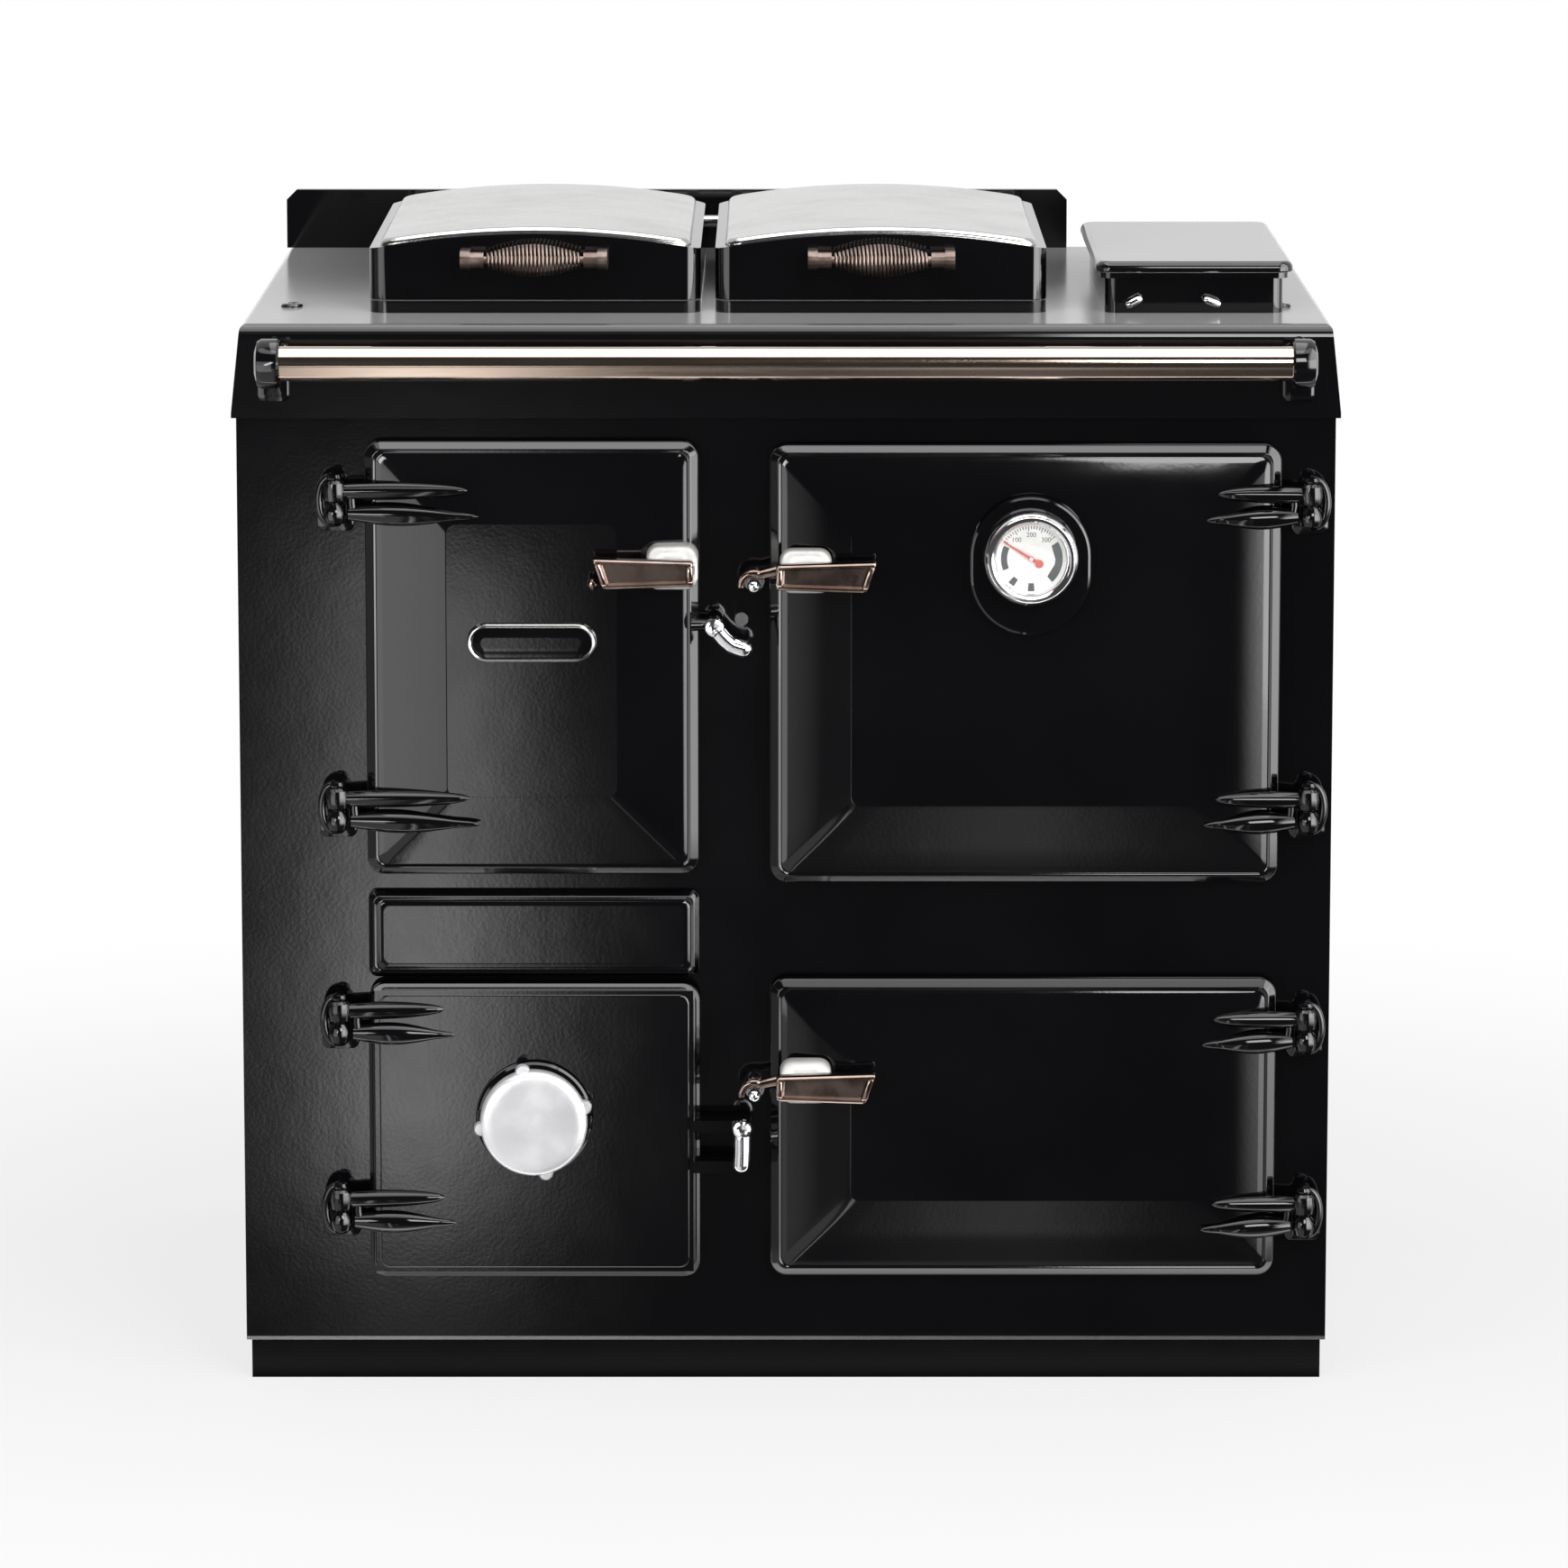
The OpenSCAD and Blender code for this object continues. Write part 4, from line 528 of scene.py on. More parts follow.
class RANGE_OT_stage(bpy.types.Operator):
    """Camera, floor, lamps and world"""

    bl_idname = "range.stage"
    bl_label = "Stage"

    def execute(self, context):
        scene, light = context.scene, context.scene.range_light
        scene.view_settings.view_transform = "Standard"
        camera = added("camera", bpy.data.cameras.new("camera"))
        camera.data.sensor_width, camera.data.lens = SENSOR, FOCAL / PHOTO * SENSOR
        camera.data.shift_y = SHIFT
        camera.location = EYE
        camera.rotation_euler = (math.pi / 2 - TILT, 0.0, 0.0)
        scene.camera = camera
        self.floor()
        self.world(scene, light)
        for lamp in (("top", light.top, (1.8, 2.1), (0.1, -0.4, 2.6), (0.1, -0.4, 0.0), 0.0),
                ("front", light.front, (1.2, 0.8), (0.95, -3.0, 2.0), (0.1, 0.0, 0.6), 0.0),
                ("right", light.right, (2.0, 1.8), (2.5, -2.3, 0.95), (0.0, 0.0, 0.6), 0.0),
                ("left", light.left, (1.45, 1.3), (-1.42, -1.64, 0.6), (-0.82, -0.26, 0.6), 0.0),
                ("small", light.spot, (1.0, 0.34), (-1.29, -3.15, 1.16), (-0.3, 0.0, 0.75),
                    math.pi / 4)):
            self.lamp(*lamp)
        return {"FINISHED"}

    def lamp(self, name, power, size, place, aim, roll):
        """Soft panel that faces its aim, turned about its own line of sight by the roll."""
        data = bpy.data.lights.new("lamp_" + name, "AREA")
        data.shape, data.size, data.size_y, data.energy = "RECTANGLE", size[0], size[1], power
        lamp = added("lamp_" + name, data)
        lamp.location = place
        way = np.subtract(place, aim)
        turn = math.atan2(way[0], -way[1])
        tilt = math.atan2(math.hypot(way[0], way[1]), way[2])
        lamp.rotation_euler = (Matrix.Rotation(turn, 3, "Z") @ Matrix.Rotation(tilt, 3, "X")
            @ Matrix.Rotation(roll, 3, "Z")).to_euler()

    def floor(self):
        """Pale floor. A camera ray sees it nearly white, with the object's shadow kept. A glossy
        ray finds a strip along the plinth that glows though it is no lamp, a painted highlight for
        the lower doors' bottom edges, and further ahead passes through the floor to the world."""
        side, front, back = 3.2, -1.9, 3.2
        mesh = bpy.data.meshes.new("floor")
        mesh.from_pydata([(-side, front, 0), (side, front, 0), (side, back, 0), (-side, back, 0)],
            [], [(0, 1, 2, 3)])
        added("floor", mesh)
        material = bpy.data.materials.new("floor")
        p = Paint(material)
        grain = p.noise(3.0, 3.0)
        pale = p.node("BsdfDiffuse", None, {"Color": p.mix(grain, rgb(206, 206, 207),
            rgb(214, 214, 215))})
        white, painted_glow = (p.node("Emission", None, {"Color": WHITE, "Strength": k})
            for k in (1.0, 3.6))
        x, y, _ = p.parts(p.place())
        away = (x * x + y * y) ** 0.5
        rays = p.ray("Camera").most(p.ray("Transmission"))
        seen = rays * p.spread(away, 0.6, 1.8, 0.75, 1.0)
        shader = p.node("MixShader", None, {0: seen, 1: pale, 2: white})
        glossy, ahead = p.ray("Glossy"), y * -1.0
        strip = p.band(ahead, (0.31, 0.325), (0.35, 0.37))
        # Painted highlight: this strip glows for glossy rays only, to brighten the doors' bottom
        # edges.
        shader = p.node("MixShader", None, {0: glossy * strip, 1: shader, 2: painted_glow})
        open_to = glossy * p.spread(ahead, 0.36, 0.46)
        shader = p.node("MixShader", None, {0: open_to, 1: shader,
            2: p.node("BsdfTransparent")})
        p.node("OutputMaterial", None, {"Surface": shader})
        mesh.materials.append(material)

    def world(self, scene, light):
        """White where it is looked at, through glass, and behind the range for reflections. In
        front of the range reflections find a dark room with soft panels, each placed by the
        ray's direction (x, y, z), with u = -x to the left and down = -z: the glow that the flat
        faces show, and panels for the doors' left, bottom and right slopes, for the mitre
        between left and bottom, and overhead for the doors' upper edges."""
        world = bpy.data.worlds.new("studio")
        scene.world = world
        p = Paint(world)
        x, y, z = p.parts(p.node("TexCoord", out="Generated"))
        u, down = x * -1.0, z * -1.0
        behind = p.spread(y, -0.2, 0.15) * p.spread(u, 0.7, 0.97, 1.0, 0.1)
        high = p.band(down, (0.139, 0.146), (0.175, 0.2), 0.65, 1.0) \
            * p.spread(down, 0.224, 0.244, 1.0, 0.08)
        glow = p.band(u, (0.028, 0.056), (0.049, 0.07), 1.0, 0.02) \
            * high.most(p.spread(down, 0.27, 0.32) * 0.75) * 5.5
        left = p.band(u, (0.25, 0.5), (0.72, 0.9), 0.85, 0.35) * p.spread(z, -0.1, 0.04, 1.0, 0.0)
        low = p.band(down, (0.28, 0.34), (0.53, 0.59), 1.0, 0.3) \
            * (p.spread((x - 0.03).size(), 0.0, 0.025, 0.7, 0.0) + 0.04)
        right = p.spread(x, 0.385, 0.51) ** 2.0 * p.spread(down, 0.15, 0.25, 6.5, 3.5) \
            * p.spread(z, -0.35, -0.2)
        mitre = p.spread(u + down, 0.35, 0.45) * p.spread(u, 0.08, 0.14) \
            * p.spread(down, 0.22, 0.3) * 0.75
        over = p.band(z, (0.76, 0.8), (0.9, 0.95), 2.6)
        front = glow.most(left).most(low).most(right).most(mitre) + 0.06
        sheen = behind.most(p.spread(y, -0.1, 0.1, 1.0, 0.0) * front.most(over))
        seen, glossy = p.ray("Camera").most(p.ray("Transmission")), p.ray("Glossy")
        strength = seen + (1.0 - seen) * (glossy * sheen + (1.0 - glossy) * light.air)
        shader = p.node("Background", None, {"Color": WHITE, "Strength": strength})
        p.node("OutputWorld", None, {"Surface": shader})


class RANGE_OT_finishes(bpy.types.Operator):
    """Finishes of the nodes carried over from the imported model"""

    bl_idname = "range.finishes"
    bl_label = "Finishes"

    def execute(self, context):
        own = {"hob": "hob_enamel", "hand_rail": "rail", "plinth": "plinth",
            "left_grip_mount": "grip", "right_grip_mount": "grip"}
        for name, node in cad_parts.items():
            slot = node.data.materials[0].name.split(".")[0]
            node.data.materials[0] = finishes()[own.get(name, slot)]
        return {"FINISHED"}


def door_steps(sizes, bulge, back, edge, mid, border, corner, flats=(3, 12), share=1.0):
    """Profile of a door from its back edge to its flat middle, as (inset, y, radius): an upright
    side, a slanted edge with rounded shoulders, a groove, and a border whose rise goes from a
    straight line to a quarter sine as the bulge goes from 0 to 1. The share narrows the edge."""
    e = sizes.edge / MM * share
    t = np.array([0, 0.08, 0.5, 0.92, 1])
    slant = np.stack([0.9 + t * (e - 2.7), edge + 2.4 - t * 3.9], -1)
    crest = [(e - 1.1, edge - 1.9), (e - 0.4, edge - 1.8), (e + 0.3, edge - 1.3),
        (e + 1, edge - 1), (e + 1.8, edge - 1.1)]
    s = np.concatenate([np.linspace(0, 1, 15)[:-1], [0.992, 1]])
    rise = (1 - bulge) * s + bulge * np.sin(s * np.pi / 2)
    start, low = e + 2.4, edge - 1.4
    slope = np.stack([start + s * (border - start), low + (mid - low) * rise], -1)
    line = np.concatenate([[(0, back), (0, edge + 3.8), (0.3, edge + 3)], slant, crest, slope,
        [(border + f, mid) for f in flats]])
    soft = np.maximum(corner - line[:, 0], corner * 0.35 + 3)
    return np.column_stack([line, soft])


def filled(box, grid, shrink):
    """A grid of rings with more rings inside the last one, each the last ring scaled about the
    middle of the box."""
    x, z, w, h = box
    middle = np.array([x + w / 2, 0.0, z + h / 2])
    last = grid[-1] - middle
    inner = [middle + last * (k, 1.0, k) for k in shrink]
    return np.concatenate([grid, inner])


def crowned(box, grid, rise):
    """Skin of a door whose front swells forward by rise * (1 - u^2) * (1 - v^2), where u and v
    run from -1 to 1 across the door."""
    x, z, w, h = box
    points, quads, fans = skin(grid)
    u, v = (points[:, 0] - x - w / 2) / (w / 2), (points[:, 2] - z - h / 2) / (h / 2)
    points[:, 1] -= np.where(points[:, 1] < Y_DOOR - 1, rise * (1 - u * u) * (1 - v * v), 0)
    return points, quads, fans


class RANGE_OT_doors(bpy.types.Operator):
    """The domed doors with their bosses and latch arms, the ashpit door's edge, and the panel"""

    bl_idname = "range.doors"
    bl_label = "Doors"

    def execute(self, context):
        sizes = context.scene.range_sizes
        for door, bulge, more in (("firebox_door", FIRE_BULGE, self.latch_arm(*FIRE_LATCH)),
                ("main_oven_door", sizes.bulge, [self.pivot_boss(MAIN_HANDLE_Z),
                    self.gauge_boss()]),
                ("lower_oven_door", sizes.bulge, [self.pivot_boss(LOW_HANDLE_Z)])):
            box = DOORS[door]
            steps = door_steps(sizes, bulge, Y_DOOR, Y_EDGE, Y_MID + 1.8, BORDER, DOOR_R,
                (0.5, 2, 5))
            grid = filled(box, rings(box, steps, side=14), np.linspace(0.94, 0.04, 10))
            piece(door + "_shell", [crowned(box, grid, sizes.crown / MM), *more], door,
                replaced=[door])
        rim = door_steps(sizes, 0.5, Y_DOOR, Y_FLAT + 2, Y_FLAT - 0.6, 9.6, DOOR_R, (0.3,), 0.72)
        rim = np.concatenate([rim, [(9.9, Y_FLAT + 1, 9), (1.5, Y_DOOR - 2, 12.5)]])
        rim[:, 0] -= 0.3
        piece("ashpit_door_rim", [skin(rings(DOORS["ashpit_door"], rim), loop=True)],
            "ashpit_door")
        panel = door_steps(sizes, 0.5, Y_FRONT, Y_FRONT - 9.4, Y_FRONT - 11.5, 9.6, 7.0,
            share=0.72)
        piece("infill_panel_shell", [rings(INFILL, panel)], "carcass",
            replaced=["infill_panel"])
        return {"FINISHED"}

    def latch_arm(self, x, z):
        """Arm from the door's edge out to the latch pivot, and the boss at its end."""
        root, y = -77.0, -319.0
        arm = tube([(root, y, z), (root + 8, y, z), (x - 3, y, z), (x + 1, y, z)],
            [6.0, 5.4, 5.0, 3.0], (0, 0, 1), 16, flat=1.5)
        return arm, lathe([(0, 5), (-1, 6.6), (-20, 7), (-22, 6)], (x, Y_DOOR - 2.5, z))

    def pivot_boss(self, z):
        """Round boss that an oven handle turns on."""
        return lathe([(0, 15), (-9, 14), (-11, 12.5), (-14.5, 12), (-16.6, 11)],
            (OVEN_PIVOT_X, Y_DOOR - 8, z))

    def gauge_boss(self):
        """Upright oval boss under the thermometer: rings of a rectangle with round ends."""
        r, drop = 49.0, 16.0
        box = (GAUGE[0] - r, GAUGE[1] - drop - r, 2 * r, 2 * r + drop)
        line = [(-1.5, -322), (0, -327), (0, -334), (0.8, -336), (2.4, -337), (10, -337)]
        return rings(box, [(i, y, r - i - 0.01) for i, y in line], corner=16)


class RANGE_OT_lids(bpy.types.Operator):
    """Polished domes with rolled rims, and the coil-spring grips"""

    bl_idname = "range.lids"
    bl_label = "Lids"

    def execute(self, context):
        rim = context.scene.range_sizes.rim / MM
        for side, x in LIDS.items():
            lid = side + "_lid"
            piece(lid + "_polished_dome", [self.dome(x, rim)], lid, "bright_steel",
                replaced=[lid + "_dome"])
            piece(side + "_grip_spring", [self.spring(x)], lid, "nickel", "grip",
                [side + "_grip_coil"])
        return {"FINISHED"}

    def dome(self, x, rim):
        """Rings drawn in from the rim to the middle. Their height is a circular arch across the
        lid, less the drop of a quarter round of the rim's radius near the edge."""
        quarter = rim * (1 - np.cos(np.linspace(0, np.pi / 2, 7)))
        inner = np.linspace(rim + 3, 124, 16)
        insets = np.concatenate([[0], quarter, inner])
        box = (x - LID_W / 2 + DOME_IN, LID_FRONT + DOME_IN, LID_W - 2 * DOME_IN,
            LID_D - 2 * DOME_IN)
        grid = rings(box, [(i, 0.0, max(14 - i, 3)) for i in insets], 2, side=12)
        top = DOME_TOP - ARCH_R + np.sqrt(ARCH_R ** 2 - (grid[..., 0] - x) ** 2)
        short = np.clip(rim - insets, 0, None)[:, None]
        grid[..., 2] = top - (rim - np.sqrt(rim ** 2 - short ** 2))
        grid[0, :, 2] -= 1.0
        return grid

    def spring(self, x):
        """Wire carried along a coil whose radius is a sine barrel. Its first axis is the spoke."""
        turns, pitch, end_r, mid_r, wire = 24, 3.2, 5.0, 12.3, 2.4
        u = np.linspace(0, turns, turns * 20 + 1)
        spoke = np.stack([0 * u, np.cos(2 * np.pi * u), np.sin(2 * np.pi * u)], -1)
        radius = end_r + (mid_r - end_r) * np.sin(np.pi * u / turns)
        path = radius[:, None] * spoke
        path[:, 0] = pitch * u - turns * pitch / 2
        path = np.concatenate([path[:1] - [wire, 0, 0], path, path[-1:] + [wire, 0, 0]])
        spoke = np.concatenate([spoke[:1], spoke, spoke[-1:]])
        return tube(path, wire / 2, spoke, 10) + (x, GRIP_Y, GRIP_Z)


class RANGE_OT_flue_cover(bpy.types.Operator):
    """Cover of the flue box with its rounded edge"""

    bl_idname = "range.flue_cover"
    bl_label = "Flue Cover"

    def execute(self, context):
        r = context.scene.range_sizes.cover_round / MM
        x, y, w, d = FLUE
        top = Z_COVER + 14
        box = (x - 8, y - 8, w + 16, d + 16)
        edge = [(r - a, top - r + b) for a, b in bend((0, 0), r, 0, 90, 8)]
        line = [(12, Z_COVER - 4), (12, Z_COVER), (4, Z_COVER), (4, Z_COVER + 4.5),
            (0.8, Z_COVER + 5.2), (0, Z_COVER + 6.2), *edge, (r + 4, top), (r + 14, top)]
        piece("flue_cover_plate", [rings(box, [(i, z, max(14 - i, 4)) for i, z in line], 2)],
            "carcass", "black_enamel", "hob_enamel", ["flue_cover"])
        return {"FINISHED"}


# Each door's hinge axis, side that its straps run to, heights, strap length and face
HINGES = (("firebox_door", LEFT_AXIS, 1, (492.0, 745.0), 108.0, Y_MID),
    ("ashpit_door", LEFT_AXIS, 1, (157.0, 315.0), 86.0, Y_FLAT),
    ("main_oven_door", RIGHT_AXIS, -1, (491.0, 742.0), 76.0, Y_MID),
    ("lower_oven_door", RIGHT_AXIS, -1, (153.0, 308.0), 76.0, Y_MID))


class RANGE_OT_hinges(bpy.types.Operator):
    """Two-fingered strap hinges, and the fixed loops that carry their pins"""

    bl_idname = "range.hinges"
    bl_label = "Hinges"

    def execute(self, context):
        fixed = []
        for body, axis, side, heights, length, face in HINGES:
            straps = [g for z in heights for g in self.strap(axis, side, z, length, face)]
            piece(body + "_strap_pair", straps, body, replaced=[body + "_straps"])
            fixed += [g for z in heights for g in self.bracket(axis, side, z)]
        piece("hinge_loops", fixed, "carcass", replaced=["hinge_brackets"])
        return {"FINISHED"}

    def strap(self, axis, side, z, length, face):
        """Eye as a barrel round the pin, and two fingers: ellipses whose radius swells and then
        runs out to the tip, carried along lines that come down onto the door."""
        eye = lathe([(-9, 4), (-9, 7), (-7, 8.8), (0, 9.8), (7, 8.8), (9, 7), (9, 4)],
            (axis, Y_AXIS, z), "z", 32)
        t = np.linspace(0, 1, 25)[:, None]
        root = np.array([axis + side * 3, Y_AXIS, z])
        tip = np.array([axis + side * length, face - 0.6, z + 1.5])
        upper = root + t * (tip - root)
        swell = 6.6 * (1 - 0.25 * (1 - t[:, 0]) ** 4) * (1 - t[:, 0] ** 2.4) ** 0.55 + 0.5
        low_root = root + [side * 8.5, 0, -18]
        low_tip = np.array([axis + side * (length + 9), face - 0.4, z - 20])
        lower = low_root + t * (low_tip - low_root)
        leaf = 4.6 + 3.6 * np.sin(np.pi * np.clip(t[:, 0] * 1.25, 0, 1))
        leaf = leaf * (1 - t[:, 0] ** 3) ** 0.6 + 0.4
        web = [root + [side * out, 0.5, down] for out, down in ((11, -2), (11, -9), (12, -17))]
        return [eye, tube(upper, swell * 1.1, (0, 0, 1), 24, flat=0.85, power=1.3),
            tube(lower, leaf * 1.1, (0, 0, 1), 24, flat=0.75, power=1.3),
            tube(web, 3.4, (0, 1, 0), 12)]

    def bracket(self, axis, side, z):
        """Ball-shaped lower knuckle, the pin's round head, an arm from a foot on the front plate,
        and a loop round the outside: a half ellipse from the pin's head to the knuckle."""
        ball = lathe([(-29, 0.6), (-28, 4.6), (-25, 8), (-19.5, 9.4), (-14, 8.4), (-10, 6),
            (-9.4, 3)], (axis, Y_AXIS, z), "z", 32)
        pin = lathe([(-12, 4.4), (9.3, 4.4), (9.4, 5.8), (11.6, 6.6), (14, 5.4), (15.4, 2.6),
            (15.8, 0.4)], (axis, Y_AXIS, z), "z", 32)
        a = np.linspace(np.pi / 2, -np.pi / 2, 21)
        loop = np.stack([axis - side * 12.5 * np.cos(a) ** 0.7, 0 * a + Y_AXIS,
            z - 7 + 19 * np.sin(a)], -1)
        arm = [(axis, -298, z - 18), (axis, -306, z - 18), (axis, -316, z - 18.5),
            (axis, Y_AXIS, z - 18.5)]
        foot = rings((axis - 15, z - 35, 30, 34), [(0, -299, 6), (0, -302.6, 6),
            (0.6, -303.8, 6), (2, -304.4, 5), (8, -305, 3)])
        return [ball, pin, tube(loop, 3.3, (0, 1, 0), 12),
            tube(arm, [9, 6.6, 6, 5.5], (1, 0, 0), 16), foot]


def bar(x, z, side):
    """Handle bar: a section with a sunk front face carried along X. Its half height grows from
    root to end, and its length grows with height, so the end slants. The sunk depth is a smooth
    step at each end."""
    t = np.concatenate([[0, 0.004, 0.012, 0.025], np.linspace(0.045, 0.1, 5),
        np.linspace(0.14, 0.86, 9), np.linspace(0.9, 0.955, 5), [0.975, 0.988, 0.996, 1]])
    end = np.minimum(t, 1 - t)
    close = np.clip(end / 0.025, 0, 1)
    trim = 0.8 + 0.2 * np.sqrt(1 - (1 - close) ** 2)
    sunk = np.clip((end - 0.05) / 0.035, 0, 1)
    sunk = 3.4 * sunk * sunk * (3 - 2 * sunk)
    half = (10.4 + 2.4 * t) * trim
    # Upper half of the section, from the back to the middle of the front: how far it stands in
    # from the bar's half height, its depth, and its share of the sunk depth
    down, depth, dip = np.array([(3, 0, 0), (0.9, 1, 0), (0, 3.2, 0), (0, 12.5, 0), (0.8, 15, 0),
        (2, 16, 0), (3.6, 16, 0), (4.4, 15.4, 0.3), (5.2, 16, 1)]).T
    sign = np.repeat([-1, 1, -1], [1, 9, 8])
    down, depth, dip = (np.concatenate([k[:1], k, k[:0:-1]]) for k in (down, depth, dip))
    zz = sign * (half[:, None] - down)
    yy = Y_BAR - 8 - (depth - dip * sunk[:, None] - 8) * trim[:, None]
    xx = x + side * t[:, None] * (BAR_LEN - 9 * (0.5 - zz / 26))
    return np.stack([xx, yy, zz + z], -1)


class RANGE_OT_handles(bpy.types.Operator):
    """Sunk-faced handle bars on their mounts, the hooks, and the latch levers"""

    bl_idname = "range.handles"
    bl_label = "Handles"

    def execute(self, context):
        for name, z in (("main_oven_handle", MAIN_HANDLE_Z),
                ("lower_oven_handle", LOW_HANDLE_Z)):
            piece(name + "_cast", [bar(-8.0, z, 1), self.hook(z)], name, "nickel",
                replaced=[name])
            piece(name + "_mount", [self.mount(OVEN_PIVOT_X - 21, z, Y_AXIS - 7.3)], name,
                "nickel", "cast_alloy", [name])
        ball = lathe([(5, 0.5), (4.4, 2.6), (2.4, 4.4), (0, 5), (-2.4, 4.4), (-4.4, 2.6),
            (-5, 0.5)], (-156.0, Y_BAR - 8, FIRE_HANDLE_Z - 9), sides=20)
        piece("firebox_handle_cast", [bar(-75.0, FIRE_HANDLE_Z, -1), ball], "firebox_door",
            "nickel", replaced=["firebox_handle"])
        piece("firebox_handle_mount", [self.mount(-113.0, FIRE_HANDLE_Z, -317.0)],
            "firebox_door", "nickel", "cast_alloy", ["firebox_handle"])
        self.latches()
        return {"FINISHED"}

    def mount(self, x, z, back):
        """Rounded block behind a bar. Its front leans back by as much as it stands above the
        bar's upper part."""
        line = [(1, back, 9), (0, back - 1, 10), (0, Y_BAR - 4, 10), (0.8, Y_BAR - 6, 9.5),
            (2.4, Y_BAR - 7, 8), (8, Y_BAR - 7, 4)]
        grid = rings((x, z - 14, 42, 35), line)
        lean = np.clip(grid[..., 2] - (z + 8), 0, None)
        grid[..., 1] = np.minimum(grid[..., 1] + lean, back)
        return grid

    def hook(self, z):
        """Round bar from the pivot out to the left and over the keeper in a circular arc."""
        arc = bend((KEEPER_X, z - 10), 10.6, 62, 184, 12)
        lead = np.array([(OVEN_PIVOT_X, z + 1), (4, z + 2.6), (-8, z + 2.6)])
        line = np.concatenate([lead, arc])
        path = np.insert(line, 1, Y_AXIS - 11.3, axis=1)
        radius = np.concatenate([[6, 5.4, 4.4], np.linspace(3.9, 3.0, len(arc))])
        return tube(path, radius, (0, 1, 0), 14)

    def latches(self):
        """Levers: round bars with full ends along a bent line, on a turned hub."""
        y = -336.0
        hub = [(4, 4), (3.4, 7), (1, 8.2), (-4, 8.2), (-6.2, 7), (-7, 4.8), (-6.2, 3.4),
            (-4.6, 2.6), (-4.2, 0.4)]
        bent = [(0, 0), (3, -4), (8, -10), (14, -15), (22, -17.6), (31, -19)]
        hanging = [(0, -2), (0, -10), (0, -19), (-0.4, -28), (-1, -37)]
        for name, (x, z), line in (("firebox_latch", FIRE_LATCH, bent),
                ("ashpit_latch", ASH_LATCH, hanging)):
            line = np.array(line, float)
            knots = np.linspace(0, 1, len(line))
            t = np.linspace(0, 1, 25)
            path = np.stack([x + np.interp(t, knots, line[:, 0]), 0 * t + y,
                z + np.interp(t, knots, line[:, 1])], -1)
            ends = np.clip(np.minimum(t, 1 - t) / 0.16, 0, 1)
            radius = 6.8 * np.sqrt(1 - (1 - ends) ** 2) + 0.15
            piece(name + "_lever", [tube(path, radius, (0, 1, 0), 20),
                lathe(hub, (x, y, z), sides=32)], name, "chrome", replaced=[name])


